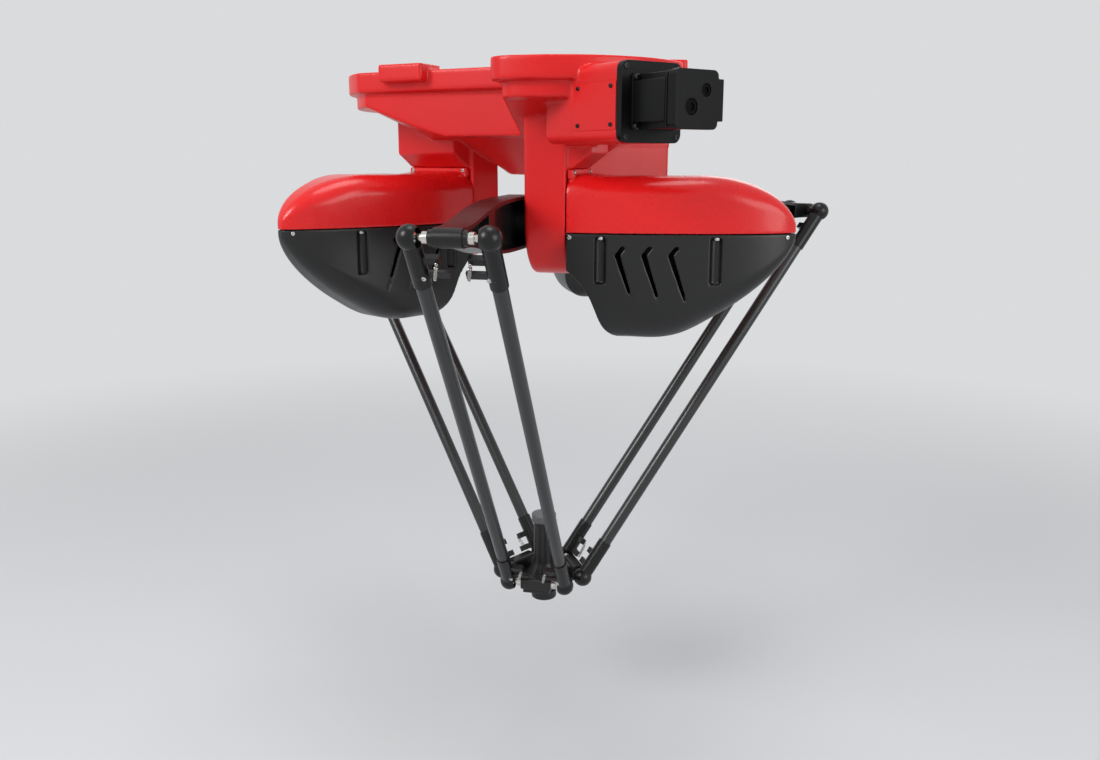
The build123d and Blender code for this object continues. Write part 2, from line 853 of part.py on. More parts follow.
# Lower cover of the pod, open under the arch and grooved where its screws go up
with BuildPart() as pod_bottom:
    add(pod_half(False, 0))
    add(pod_space.part, mode=Mode.SUBTRACT)
    add(pod_bottom_columns.part)
    groove_low = -pod_groove_foot + pod_wall
    add(pod_columns(pod_groove_radius, groove_low, -pod_groove_top, 0), mode=Mode.SUBTRACT)
    screw_hole = pod_columns(pod_screw_radius, groove_low, -parting_drop, pod_screw_inset)
    add(screw_hole, mode=Mode.SUBTRACT)
    add(pod_arch(0), mode=Mode.SUBTRACT)
    add(pod_slots.part, mode=Mode.SUBTRACT)
save_three(pod_bottom.part, "pod_bottom_cover")


def cover_screw(plane, length):
    with BuildPart() as screw:
        with BuildSketch(plane):
            Circle(cover_screw_head_radius)
        extrude(amount=cover_screw_head)
        with BuildSketch(plane):
            Circle(cover_screw_radius)
        extrude(amount=-length)
        with BuildSketch(plane.offset(cover_screw_head)):
            RegularPolygon(cover_screw_socket, 6)
        extrude(amount=-cover_screw_head / 2, mode=Mode.SUBTRACT)
    return screw.part


# All screws that hold the lid, the service plate, the adapter plate and the pod covers
with BuildPart() as cover_screws:
    for index in range(cover_screw_count):
        turn = math.radians(cover_screw_start + 360 / cover_screw_count * index)
        place = (cover_screw_circle * math.cos(turn), cover_screw_circle * math.sin(turn), rim_top)
        add(cover_screw(Plane(origin=place), cover_screw_length))
    for across in (-1, 1):
        for up in (-1, 1):
            place = service_plane.offset(service_plate_thickness)
            corner = (across * service_screw_across / 2, up * service_screw_up / 2, 0)
            place = place.shift_origin(place.from_local_coords(corner))
            add(cover_screw(place, service_screw_depth))
    with BuildSketch(axis4_plane(axis4_plate_face)):
        with GridLocations(axis4_bolt_spacing, axis4_bolt_spacing, 2, 2):
            Circle(axis4_bolt_head_radius)
    extrude(amount=axis4_bolt_head)
    with BuildSketch(axis4_plane(axis4_plate_face)):
        with GridLocations(axis4_bolt_spacing, axis4_bolt_spacing, 2, 2):
            Circle(axis4_bolt_radius)
    extrude(amount=-axis4_bolt_length)
    head_low = -pod_groove_top - pod_screw_head
    shank = pod_screw_radius - fit_clearance
    for index in range(arm_count):
        turn = 360 / arm_count * index
        heads = pod_columns(pod_screw_head_radius, head_low, -pod_groove_top, pod_screw_inset)
        shanks = pod_columns(shank, -pod_groove_top, pod_screw_top - fit_clearance, pod_screw_inset)
        add(heads.rotate(Axis.Z, turn))
        add(shanks.rotate(Axis.Z, turn))
save(cover_screws.part, "cover_screws")

# Upper arm: a tapered beam with a web between two flanges
def arm_outline(inset):
    upper = [(shoulder_radius + x, y - inset) for x, y in arm_root_edge]
    upper += [(elbow_radius - x, y - inset) for x, y in arm_tip_edge]
    hub = hub_radius - inset
    tip = elbow_boss_radius - inset
    with BuildSketch() as outline:
        with BuildLine():
            hub_top = (shoulder_radius, hub)
            tip_top = (elbow_radius, tip)
            Spline(hub_top, *upper, tip_top, tangents=[(1, 0), (1, 0)])
            hub_low = (shoulder_radius, -hub)
            tip_low = (elbow_radius, -tip)
            ThreePointArc(tip_top, (elbow_radius + tip, 0), tip_low)
            lower = [(r, -z) for r, z in upper]
            Spline(hub_low, *lower, tip_low, tangents=[(1, 0), (1, 0)])
            ThreePointArc(hub_top, (shoulder_radius - hub, 0), hub_low)
        make_face()
    return outline.sketch


# Pockets on both sides of the web, with the rib near the tip left standing
with BuildSketch() as pocket_shape:
    add(arm_outline(arm_wall))
    with Locations((shoulder_radius, 0)):
        Circle(hub_radius + arm_wall, mode=Mode.SUBTRACT)
    with Locations((elbow_radius - arm_rib_from_elbow, 0)):
        Rectangle(arm_rib_width, 2 * hub_radius, mode=Mode.SUBTRACT)
    with Locations((elbow_radius, 0)):
        Rectangle(2 * arm_tip_solid, 2 * hub_radius, mode=Mode.SUBTRACT)

arm_frame = side_plane(arm_half)
arm_frame = arm_frame.shift_origin(arm_frame.from_local_coords((0, shoulder_z, 0)))


# Blind holes for the shanks of a pair of ball studs
def stud_holes(r, z, root_t):
    with BuildPart() as holes:
        with BuildSketch(side_plane(root_t)):
            with Locations((r, z)):
                Circle(shank_radius + fit_clearance)
        extrude(amount=shank_length + seat_gap)
        mirror(about=Plane.YZ)
    return holes.part


with BuildPart() as upper_arm:
    with BuildSketch(arm_frame):
        add(arm_outline(0))
    extrude(amount=arm_width)
    with BuildSketch(arm_frame):
        add(pocket_shape.sketch)
    extrude(amount=(arm_width - arm_web) / 2, mode=Mode.SUBTRACT)
    with BuildSketch(arm_frame.offset((arm_width + arm_web) / 2)):
        add(pocket_shape.sketch)
    extrude(amount=(arm_width - arm_web) / 2, mode=Mode.SUBTRACT)
    with BuildSketch(side_plane(elbow_step_half)):
        with Locations((elbow_radius, shoulder_z)):
            Circle(elbow_step_radius)
    extrude(amount=2 * elbow_step_half)
    add(stud_holes(elbow_radius, shoulder_z, elbow_step_half), mode=Mode.SUBTRACT)
    with BuildSketch(side_plane(-arm_half)):
        with Locations((shoulder_radius, shoulder_z)):
            with PolarLocations(hub_bolt_circle, hub_bolt_count):
                Circle(hub_bolt_radius + fit_clearance)
    extrude(amount=-arm_width, mode=Mode.SUBTRACT)
    with BuildSketch(side_plane(-arm_half)):
        with Locations((shoulder_radius, shoulder_z)):
            with PolarLocations(hub_bolt_circle, hub_bolt_count):
                Circle(hub_bolt_head_radius + fit_clearance)
    extrude(amount=-hub_bolt_head - fit_clearance, mode=Mode.SUBTRACT)
save_three(upper_arm.part, "upper_arm")

with BuildPart() as arm_bolts:
    with BuildSketch(side_plane(-arm_half + fit_clearance)):
        with Locations((shoulder_radius, shoulder_z)):
            with PolarLocations(hub_bolt_circle, hub_bolt_count):
                Circle(hub_bolt_head_radius)
    extrude(amount=-hub_bolt_head)
    with BuildSketch(side_plane(-arm_half + fit_clearance)):
        with Locations((shoulder_radius, shoulder_z)):
            with PolarLocations(hub_bolt_circle, hub_bolt_count):
                Circle(hub_bolt_radius)
    extrude(amount=-arm_width - hub_bolt_grip + 2 * fit_clearance)
    with BuildSketch(side_plane(-arm_half + fit_clearance)):
        with Locations((shoulder_radius, shoulder_z)):
            with PolarLocations(hub_bolt_circle, hub_bolt_count):
                RegularPolygon(hub_bolt_socket, 6)
    extrude(amount=-hub_bolt_head / 2, mode=Mode.SUBTRACT)
save_three(arm_bolts.part, "arm_bolts")


# Pair of ball studs on an axis across the arm, each with a shank, a collar, a neck and a ball
def ball_studs(r, z, root_t, collar_end_t):
    frame = Plane(origin=(0, -r, z), x_dir=(1, 0, 0), z_dir=(0, -1, 0))
    with BuildPart() as studs:
        with BuildSketch(frame):
            with BuildLine():
                Polyline(
                    (root_t - shank_length, 0),
                    (root_t - shank_length, shank_radius),
                    (root_t, shank_radius),
                    (root_t, collar_radius),
                    (collar_end_t, collar_radius),
                    (collar_end_t, neck_radius),
                    (rod_half_spacing, neck_radius),
                    (rod_half_spacing, 0),
                    close=True,
                )
            make_face()
        revolve(axis=Axis((0, -r, z), (1, 0, 0)))
        with Locations((rod_half_spacing, -r, z)):
            Sphere(ball_radius)
        mirror(about=Plane.YZ)
    return studs.part


collar_end = elbow_step_half + collar_length
elbow_studs = ball_studs(elbow_radius, shoulder_z, elbow_step_half, collar_end)
save_three(elbow_studs, "elbow_ball_studs")
collar_end = bar_half_length + collar_length
wrist_studs = ball_studs(platform_radius, platform_z, bar_half_length, collar_end)
save_three(wrist_studs, "wrist_ball_studs")


# Distance along a rod from the elbow's ball, given from either end's ball
def along_rod(distance, at_elbow):
    return distance if at_elbow else forearm_length - distance


def rod_cylinder(start, end, radius):
    with BuildPart() as length:
        with BuildSketch(rod_plane(rod_half_spacing, start)):
            Circle(radius)
        extrude(amount=end - start)
    return length.part


# One end fitting: a cup round the ball, a socket for the tube, a short lug and the lever's slot
def end_fitting(at_elbow, lug_at, lever_at):
    ball = rod_plane(rod_half_spacing, along_rod(0, at_elbow)).origin
    ends = sorted([along_rod(0, at_elbow), along_rod(fitting_length, at_elbow)])
    socket_floor = tube_start - seat_gap
    tube_ends = sorted([along_rod(socket_floor, at_elbow), along_rod(fitting_length, at_elbow)])
    spigot_tip = tube_start + tube_grip
    grip_ends = sorted([along_rod(socket_floor - seat_gap, at_elbow), along_rod(spigot_tip, at_elbow)])
    lug_low = along_rod(lug_at, at_elbow) - lug_width / 2
    slot_low = along_rod(lever_at, at_elbow) - lug_width / 2 - running_clearance
    across = Plane(origin=ball, x_dir=(0, 1, 0), z_dir=(-1, 0, 0))
    with BuildPart() as fitting:
        add(rod_cylinder(ends[0], ends[1], fitting_radius))
        with Locations(ball):
            Sphere(cup_radius)
        with BuildSketch(rod_plane(rod_half_spacing, lug_low)):
            with Locations((-lug_length / 2, 0)):
                Rectangle(lug_length, lug_thickness)
        extrude(amount=lug_width)
        with BuildSketch(across.offset(cup_mouth)):
            Circle(cup_opening_radius)
        extrude(amount=cup_radius, mode=Mode.SUBTRACT)
        with Locations(ball):
            Sphere(ball_radius + ball_clearance, mode=Mode.SUBTRACT)
        add(rod_cylinder(tube_ends[0], tube_ends[1], tube_radius + fit_clearance), mode=Mode.SUBTRACT)
        add(rod_cylinder(grip_ends[0], grip_ends[1], tube_bore_radius - fit_clearance))
        with BuildSketch(rod_plane(rod_half_spacing, slot_low)):
            with Locations(((lever_root - lever_length) / 2 + running_clearance, 0)):
                Rectangle(lever_root + lever_length, lever_thickness + 2 * running_clearance)
        extrude(amount=lug_width + 2 * running_clearance, mode=Mode.SUBTRACT)
        add(lever_pin(at_elbow, lever_at, lever_pin_radius + running_clearance), mode=Mode.SUBTRACT)
    return fitting.part


# Cross pin that a lever turns on
def lever_pin(at_elbow, lever_at, radius):
    middle = rod_plane(rod_half_spacing, along_rod(lever_at, at_elbow))
    pin_frame = Plane(origin=middle.origin, x_dir=middle.z_dir, z_dir=middle.y_dir)
    with BuildPart() as pin:
        with BuildSketch(pin_frame.offset(-fitting_radius)):
            Circle(radius)
        extrude(amount=2 * fitting_radius)
    return pin.part


def spring_lever(at_elbow, lever_at):
    low = along_rod(lever_at, at_elbow) - lug_width / 2
    with BuildPart() as lever:
        with BuildSketch(rod_plane(rod_half_spacing, low)):
            with Locations(((lever_root - lever_length) / 2, 0)):
                Rectangle(lever_root + lever_length, lever_thickness)
        extrude(amount=lug_width)
        add(lever_pin(at_elbow, lever_at, lever_pin_radius))
    return lever.part


# Coil spring stretched along the rod between the lug's tip and the lever's tip
def lug_spring(at_elbow, lug_at, lever_at):
    places = sorted([along_rod(lug_at, at_elbow), along_rod(lever_at, at_elbow)])
    wire_half = spring_wire / 2
    start = places[0] + lug_width / 2 + wire_half + running_clearance
    length = places[1] - places[0] - lug_width - spring_wire - 2 * running_clearance
    turns = round(length / spring_pitch)
    coil = Helix(pitch=length / turns, height=length, radius=spring_radius - wire_half)
    with BuildPart() as spring:
        with BuildSketch(Plane(origin=coil @ 0, z_dir=coil % 0)):
            Circle(wire_half)
        sweep(path=coil)
    frame = rod_plane(rod_half_spacing - lug_length + hook_inset, start)
    return spring.part.moved(frame.location)


rod_ends = [
    (True, lug_far, lever_far),
    (False, lug_near_platform, lever_near_platform),
]

with BuildPart() as fittings:
    for at_elbow, lug_at, lever_at in rod_ends:
        add(end_fitting(at_elbow, lug_at, lever_at))
    mirror(about=Plane.YZ)
save_three(fittings.part, "forearm_fittings")

with BuildPart() as levers:
    for at_elbow, lug_at, lever_at in rod_ends:
        add(spring_lever(at_elbow, lever_at))
    mirror(about=Plane.YZ)
save_three(levers.part, "forearm_levers")

with BuildPart() as tubes:
    tube_end = forearm_length - tube_start
    add(rod_cylinder(tube_start, tube_end, tube_radius))
    add(rod_cylinder(tube_start, tube_end, tube_bore_radius), mode=Mode.SUBTRACT)
    mirror(about=Plane.YZ)
save_three(tubes.part, "forearm_tubes")

with BuildPart() as springs:
    for at_elbow, lug_at, lever_at in rod_ends:
        add(lug_spring(at_elbow, lug_at, lever_at))
    mirror(about=Plane.YZ)
save_three(springs.part, "forearm_springs")

# Bar between the two lower balls of an arm
with BuildPart() as platform_bar:
    with BuildSketch(side_plane(bar_half_length)):
        with Locations((platform_radius, platform_z)):
            RectangleRounded(2 * bar_radius, 2 * bar_radius, bar_corner)
    extrude(amount=2 * bar_half_length)
    add(stud_holes(platform_radius, platform_z, bar_half_length), mode=Mode.SUBTRACT)
save_three(platform_bar.part, "platform_bar")

# Platform: a plate with a ledge under each bar, the spindle housing above and a boss below
plate_top_z = platform_z - bar_radius - bar_clearance
boss_bottom_z = platform_z - boss_drop
spindle_top_z = platform_z + spindle_rise
spindle_bore = bearing_outer_radius + fit_clearance
with BuildPart() as platform_body:
    with BuildSketch(Plane.XY.offset(plate_top_z)):
        Circle(plate_radius)
        for index in range(arm_count):
            outer = platform_radius + ledge_reach
            with Locations(Location((0, 0, 0), (0, 0, 360 / arm_count * index))):
                with Locations((0, -outer / 2)):
                    Rectangle(2 * ledge_half_width, outer)
    extrude(amount=-plate_thickness)
    with BuildSketch(Plane.XZ):
        with BuildLine():
            Polyline(
                (0, boss_bottom_z),
                (boss_outer_radius, boss_bottom_z),
                (boss_outer_radius, plate_top_z - plate_thickness),
                (cone_radius, plate_top_z),
                (spindle_radius, platform_z + cone_rise),
                (spindle_radius, spindle_top_z),
                (0, spindle_top_z),
                close=True,
            )
        make_face()
    revolve(axis=Axis.Z)
    with BuildSketch(Plane.XY.offset(boss_bottom_z)):
        Circle(spindle_shaft_radius + channel_side_gap / 2)
    extrude(amount=spindle_top_z - boss_bottom_z, mode=Mode.SUBTRACT)
    with BuildSketch(Plane.XY.offset(boss_bottom_z)):
        Circle(spindle_bore)
    extrude(amount=bearing_width + fit_clearance, mode=Mode.SUBTRACT)
    with BuildSketch(Plane.XY.offset(spindle_top_z)):
        Circle(spindle_bore)
    extrude(amount=-bearing_width - fit_clearance, mode=Mode.SUBTRACT)
save(platform_body.part, "platform_body")


def spindle_ring(low, high, outer, inner):
    with BuildPart() as ring:
        with BuildSketch(Plane.XY.offset(low)):
            Circle(outer)
            Circle(inner, mode=Mode.SUBTRACT)
        extrude(amount=high - low)
    return ring.part


shaft_bore = spindle_shaft_radius + running_clearance
with BuildPart() as platform_bearings:
    add(spindle_ring(boss_bottom_z, boss_bottom_z + bearing_width, bearing_outer_radius, shaft_bore))
    add(spindle_ring(spindle_top_z - bearing_width, spindle_top_z, bearing_outer_radius, shaft_bore))
save(platform_bearings.part, "platform_bearings")

# Cap over the top of the spindle housing
cap_top_z = spindle_top_z + cap_thickness
with BuildPart() as platform_cap:
    add(spindle_ring(spindle_top_z, cap_top_z, cap_radius, spindle_shaft_radius + channel_side_gap / 2))
    with BuildSketch(Plane.XY.offset(cap_top_z)):
        Circle(cap_radius)
    extrude(amount=-cap_roof)
    fillet(platform_cap.faces().sort_by(Axis.Z)[-1].edges(), cap_edge)
save(platform_cap.part, "platform_cap")

# Tool flange with its spindle shaft, a pilot bore and four tapped holes
flange_bottom_z = platform_z - tool_flange_drop
flange_top_z = flange_bottom_z + tool_flange_thickness
with BuildPart() as tool_flange:
    with BuildSketch(Plane.XY.offset(flange_bottom_z)):
        Circle(tool_flange_radius)
    extrude(amount=tool_flange_thickness)
    chamfer(tool_flange.edges(), tool_flange_edge)
    with BuildSketch(Plane.XY.offset(flange_top_z)):
        Circle(bearing_outer_radius)
    extrude(amount=boss_bottom_z - flange_top_z - seat_gap)
    with BuildSketch(Plane.XY.offset(flange_top_z)):
        Circle(spindle_shaft_radius)
    extrude(amount=spindle_top_z + cap_thickness / 2 - flange_top_z)
    with BuildSketch(Plane.XY.offset(flange_bottom_z)):
        Circle(tool_bore_radius)
    extrude(amount=tool_pilot_depth, mode=Mode.SUBTRACT)
    with BuildSketch(Plane.XY.offset(flange_bottom_z)):
        with PolarLocations(tool_bolt_circle_radius, tool_bolt_count):
            Circle(tool_bolt_radius)
    extrude(amount=tool_flange_thickness, mode=Mode.SUBTRACT)
save(tool_flange.part, "tool_flange")
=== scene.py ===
import json
import math
import bmesh
import bpy
from mathutils import Matrix, Vector
from mathutils.bvhtree import BVHTree


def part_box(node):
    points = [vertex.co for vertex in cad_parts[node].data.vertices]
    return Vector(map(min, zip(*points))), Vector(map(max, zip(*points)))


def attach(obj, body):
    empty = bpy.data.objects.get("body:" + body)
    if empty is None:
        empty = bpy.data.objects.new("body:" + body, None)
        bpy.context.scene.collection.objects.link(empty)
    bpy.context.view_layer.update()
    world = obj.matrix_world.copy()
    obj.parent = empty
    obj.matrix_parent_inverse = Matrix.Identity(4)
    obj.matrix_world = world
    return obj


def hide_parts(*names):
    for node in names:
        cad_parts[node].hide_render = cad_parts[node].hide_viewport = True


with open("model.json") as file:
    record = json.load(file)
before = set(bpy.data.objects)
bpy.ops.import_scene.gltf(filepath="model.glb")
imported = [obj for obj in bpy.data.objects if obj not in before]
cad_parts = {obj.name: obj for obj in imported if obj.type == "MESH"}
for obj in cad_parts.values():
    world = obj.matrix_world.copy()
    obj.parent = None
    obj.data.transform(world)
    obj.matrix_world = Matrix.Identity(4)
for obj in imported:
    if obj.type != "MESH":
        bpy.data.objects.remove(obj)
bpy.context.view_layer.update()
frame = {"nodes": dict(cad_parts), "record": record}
nodes = frame["nodes"]

# Studio: a pale floor well under the hanging robot, a pale surround and four soft lamps.
# The camera stands where the photograph was taken from, a little above the elbows and to the right.
# The floor lies low enough for the platform at the lowest end of its travel.
studio = bpy.context.scene
studio.view_settings.view_transform = "Standard"

camera_place = (0.28878, -1.25268, -0.11365)
camera_pitch_down = 11.44
camera_turn = 12.98
camera_data = bpy.data.cameras.new("camera")
camera_data.lens = 30.91
camera_data.shift_x = 0.0055
camera_data.shift_y = -0.0273
camera = bpy.data.objects.new("camera", camera_data)
camera.location = camera_place
camera.rotation_euler = (math.radians(90 - camera_pitch_down), 0, math.radians(camera_turn))
studio.collection.objects.link(camera)
studio.camera = camera

floor_z = -0.93
floor_reach = 14.0
floor_mesh = bpy.data.meshes.new("floor")
work = bmesh.new()
bmesh.ops.create_grid(work, x_segments=1, y_segments=1, size=floor_reach)
bmesh.ops.translate(work, verts=work.verts, vec=(0, 0, floor_z))
work.to_mesh(floor_mesh)
work.free()
floor = bpy.data.objects.new("floor", floor_mesh)
studio.collection.objects.link(floor)

backdrop_colour = (0.70, 0.71, 0.72, 1)
floor_cloud_colour = (0.74, 0.74, 0.75, 1)


# The rays that show the backdrop: the camera's own, and those seen in gloss or through glass
def seen_rays(node_tree):
    ray = node_tree.nodes.new("ShaderNodeLightPath")
    total = ray.outputs["Is Camera Ray"]
    for other in ("Is Glossy Ray", "Is Transmission Ray"):
        larger = node_tree.nodes.new("ShaderNodeMath")
        larger.operation = "MAXIMUM"
        node_tree.links.new(total, larger.inputs[0])
        node_tree.links.new(ray.outputs[other], larger.inputs[1])
        total = larger.outputs["Value"]
    return total


floor_fade_start = 1.1
floor_fade_end = 3.0
floor_paint = bpy.data.materials.new("floor_paint")
floor_paint.use_nodes = True
tree = floor_paint.node_tree
shader = tree.nodes["Principled BSDF"]
shader.inputs["Roughness"].default_value = 0.9
shader.inputs["Specular IOR Level"].default_value = 0.2
place = tree.nodes.new("ShaderNodeTexCoord")
cloudy = tree.nodes.new("ShaderNodeTexNoise")
cloudy.inputs["Scale"].default_value = 1.4
tone = tree.nodes.new("ShaderNodeMixRGB")
tone.inputs["Color1"].default_value = backdrop_colour
tone.inputs["Color2"].default_value = floor_cloud_colour
distance = tree.nodes.new("ShaderNodeVectorMath")
distance.operation = "LENGTH"
fade = tree.nodes.new("ShaderNodeMapRange")
fade.interpolation_type = "SMOOTHSTEP"
fade.inputs["From Min"].default_value = floor_fade_start
fade.inputs["From Max"].default_value = floor_fade_end
faded_and_seen = tree.nodes.new("ShaderNodeMath")
faded_and_seen.operation = "MULTIPLY"
haze = tree.nodes.new("ShaderNodeEmission")
haze.inputs["Color"].default_value = backdrop_colour
blend = tree.nodes.new("ShaderNodeMixShader")
tree.links.new(place.outputs["Object"], cloudy.inputs["Vector"])
tree.links.new(cloudy.outputs["Fac"], tone.inputs["Fac"])
tree.links.new(tone.outputs["Color"], shader.inputs["Base Color"])
tree.links.new(place.outputs["Object"], distance.inputs[0])
tree.links.new(distance.outputs["Value"], fade.inputs["Value"])
tree.links.new(fade.outputs["Result"], faded_and_seen.inputs[0])
tree.links.new(seen_rays(tree), faded_and_seen.inputs[1])
tree.links.new(faded_and_seen.outputs["Value"], blend.inputs["Fac"])
tree.links.new(shader.outputs["BSDF"], blend.inputs[1])
tree.links.new(haze.outputs["Emission"], blend.inputs[2])
tree.links.new(blend.outputs["Shader"], tree.nodes["Material Output"].inputs["Surface"])
floor_mesh.materials.append(floor_paint)

world = bpy.data.worlds.new("surround")
studio.world = world
world.use_nodes = True
tree = world.node_tree
tree.nodes.clear()
out = tree.nodes.new("ShaderNodeOutputWorld")
soft = tree.nodes.new("ShaderNodeBackground")
soft.inputs["Color"].default_value = (0.93, 0.96, 1.0, 1)
soft.inputs["Strength"].default_value = 0.42
seen = tree.nodes.new("ShaderNodeBackground")
seen.inputs["Color"].default_value = backdrop_colour
seen.inputs["Strength"].default_value = 1.0
pick = tree.nodes.new("ShaderNodeMixShader")
tree.links.new(seen_rays(tree), pick.inputs["Fac"])
tree.links.new(soft.outputs["Background"], pick.inputs[1])
tree.links.new(seen.outputs["Background"], pick.inputs[2])
tree.links.new(pick.outputs["Shader"], out.inputs["Surface"])

aim = Vector((0, 0, -0.25))
for lamp_name, lamp_place, lamp_size, lamp_power in (
    ("key", (-1.5, -1.9, 1.1), 1.3, 40),
    ("fill", (2.2, -1.3, 0.3), 1.6, 22),
    ("overhead", (0.1, -0.2, 2.0), 1.2, 15),
    ("back", (0.4, 2.2, 0.8), 1.4, 8),
):
    lamp_data = bpy.data.lights.new(lamp_name, "AREA")
    lamp_data.shape = "DISK"
    lamp_data.size = lamp_size
    lamp_data.energy = lamp_power
    lamp = bpy.data.objects.new(lamp_name, lamp_data)
    lamp.location = lamp_place
    lamp.rotation_euler = (aim - Vector(lamp_place)).to_track_quat("-Z", "Y").to_euler()
    studio.collection.objects.link(lamp)

# Base casting and drive housings: aluminium sand castings, bolted together, filled and sprayed gloss red.
# One skin is drawn over all four, so that the seams are filled and the inner corners are round, as painted.
arm_count = 3
arms = range(1, arm_count + 1)
weld_distance = 1e-5
body_of = {node: body for body, members in frame["record"]["behaviour"]["bodies"].items() for node in members}


def copy_of(name, *members):
    piece = bpy.data.objects.new(name, bpy.data.meshes.new(name))
    studio.collection.objects.link(piece)
    mesh_work = bmesh.new()
    for member in members:
        mesh_work.from_mesh(nodes[member].data)
    bmesh.ops.remove_doubles(mesh_work, verts=mesh_work.verts, dist=weld_distance)
    for face in mesh_work.faces:
        face.smooth = True
    mesh_work.to_mesh(piece.data)
    mesh_work.free()
    return piece


def settle(piece):
    bpy.context.view_layer.update()
    shown = piece.evaluated_get(bpy.context.evaluated_depsgraph_get())
    made = bpy.data.meshes.new_from_object(shown)
    piece.modifiers.clear()
    piece.data = made


def stands_for(piece, material, *names):
    piece.data.materials.clear()
    piece.data.materials.append(material)
    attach(piece, body_of[names[0]])
    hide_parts(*names)
    return piece


def cast_skin(name, members, grain, rounds, keep, fill=None):
    piece = copy_of(name, *members)
    if fill:
        mesh_work = bmesh.new()
        mesh_work.from_mesh(piece.data)
        fill(mesh_work)
        mesh_work.to_mesh(piece.data)
        mesh_work.free()
    closed = piece.modifiers.new("closed", "REMESH")
    closed.mode = "VOXEL"
    closed.voxel_size = grain
    closed.use_smooth_shade = True
    eased = piece.modifiers.new("eased", "SMOOTH")
    eased.factor = 0.5
    eased.iterations = rounds
    if keep < 1:
        fewer = piece.modifiers.new("fewer", "DECIMATE")
        fewer.ratio = keep
    even = piece.modifiers.new("even", "WEIGHTED_NORMAL")
    even.keep_sharp = False
    settle(piece)
    for face in piece.data.polygons:
        face.use_smooth = True
    return piece


def new_group(name, inputs, outputs):
    group = bpy.data.node_groups.new(name, "ShaderNodeTree")
    for label, kind, value in inputs:
        socket = group.interface.new_socket(label, in_out="INPUT", socket_type=kind)
        socket.default_value = value
    for label, kind in outputs:
        group.interface.new_socket(label, in_out="OUTPUT", socket_type=kind)
    return group, group.nodes.new("NodeGroupInput"), group.nodes.new("NodeGroupOutput")


def add_noise(group, place_socket, scale, detail):
    noise = group.nodes.new("ShaderNodeTexNoise")
    noise.inputs["Detail"].default_value = detail
    group.links.new(place_socket, noise.inputs["Vector"])
    if isinstance(scale, (int, float)):
        noise.inputs["Scale"].default_value = scale
    else:
        group.links.new(scale, noise.inputs["Scale"])
    return noise.outputs["Fac"]


def add_range(group, value, low, high):
    spread = group.nodes.new("ShaderNodeMapRange")
    group.links.new(value, spread.inputs["Value"])
    for socket, given in (("To Min", low), ("To Max", high)):
        if isinstance(given, (int, float)):
            spread.inputs[socket].default_value = given
        else:
            group.links.new(given, spread.inputs[socket])
    return spread.outputs["Result"]


def add_maths(group, operation, first, second):
    step = group.nodes.new("ShaderNodeMath")
    step.operation = operation
    for socket, given in zip(step.inputs, (first, second)):
        if isinstance(given, (int, float)):
            socket.default_value = given
        else:
            group.links.new(given, socket)
    return step.outputs["Value"]


def add_tint(group, colour, amount):
    tint = group.nodes.new("ShaderNodeVectorMath")
    tint.operation = "SCALE"
    group.links.new(colour, tint.inputs[0])
    group.links.new(amount, tint.inputs["Scale"])
    return tint.outputs["Vector"]


# Sprayed paint: a faint mottle in its colour, cloudy gloss, orange peel and the casting's slow waves
sprayed, given, made = new_group(
    "sprayed_paint",
    [
        ("Colour", "NodeSocketColor", (0.7, 0.01, 0.01, 1)),
        ("Roughness", "NodeSocketFloat", 0.3),
        ("Peel Size", "NodeSocketFloat", 420.0),
        ("Mottle", "NodeSocketFloat", 0.06),
    ],
    [("Colour", "NodeSocketColor"), ("Roughness", "NodeSocketFloat"), ("Height", "NodeSocketFloat")],
)
spot = sprayed.nodes.new("ShaderNodeTexCoord").outputs["Object"]
patches = add_noise(sprayed, spot, scale=11.0, detail=3.0)
mottle_low = add_maths(sprayed, "SUBTRACT", 1.0, given.outputs["Mottle"])
mottle_high = add_maths(sprayed, "ADD", 1.0, given.outputs["Mottle"])
shade = add_range(sprayed, patches, mottle_low, mottle_high)
sprayed.links.new(add_tint(sprayed, given.outputs["Colour"], shade), made.inputs["Colour"])
clouds = add_noise(sprayed, spot, scale=38.0, detail=4.0)
dull = add_range(sprayed, clouds, low=-0.05, high=0.07)
sprayed.links.new(add_maths(sprayed, "ADD", given.outputs["Roughness"], dull), made.inputs["Roughness"])
peel = add_noise(sprayed, spot, scale=given.outputs["Peel Size"], detail=1.0)
waves = add_noise(sprayed, spot, scale=26.0, detail=1.0)
peel_share = 0.35
peel_height = add_maths(sprayed, "MULTIPLY", peel, peel_share)
sprayed.links.new(add_maths(sprayed, "ADD", peel_height, waves), made.inputs["Height"])


coat_roughness = 0.12


# One paint, coating or metal: a shared effect with its own values. Its relief is a strength and a depth.
def finish(name, group, colour, roughness, relief, metallic=0.0, coat=0.0, specular=0.5, **others):
    material = bpy.data.materials.new(name)
    material.use_nodes = True
    nodes_in = material.node_tree.nodes
    links = material.node_tree.links
    principled = nodes_in["Principled BSDF"]
    effect = nodes_in.new("ShaderNodeGroup")
    effect.node_tree = group
    effect.inputs["Colour"].default_value = (*colour, 1)
    effect.inputs["Roughness"].default_value = roughness
    for label, value in others.items():
        effect.inputs[label.replace("_", " ").title()].default_value = value
    bump = nodes_in.new("ShaderNodeBump")
    bump.inputs["Strength"].default_value = relief[0]
    bump.inputs["Distance"].default_value = relief[1]
    links.new(effect.outputs["Colour"], principled.inputs["Base Color"])
    links.new(effect.outputs["Roughness"], principled.inputs["Roughness"])
    links.new(effect.outputs["Height"], bump.inputs["Height"])
    links.new(bump.outputs["Normal"], principled.inputs["Normal"])
    principled.inputs["Metallic"].default_value = metallic
    principled.inputs["Coat Weight"].default_value = coat
    principled.inputs["Coat Roughness"].default_value = coat_roughness
    principled.inputs["Specular IOR Level"].default_value = specular
    return material


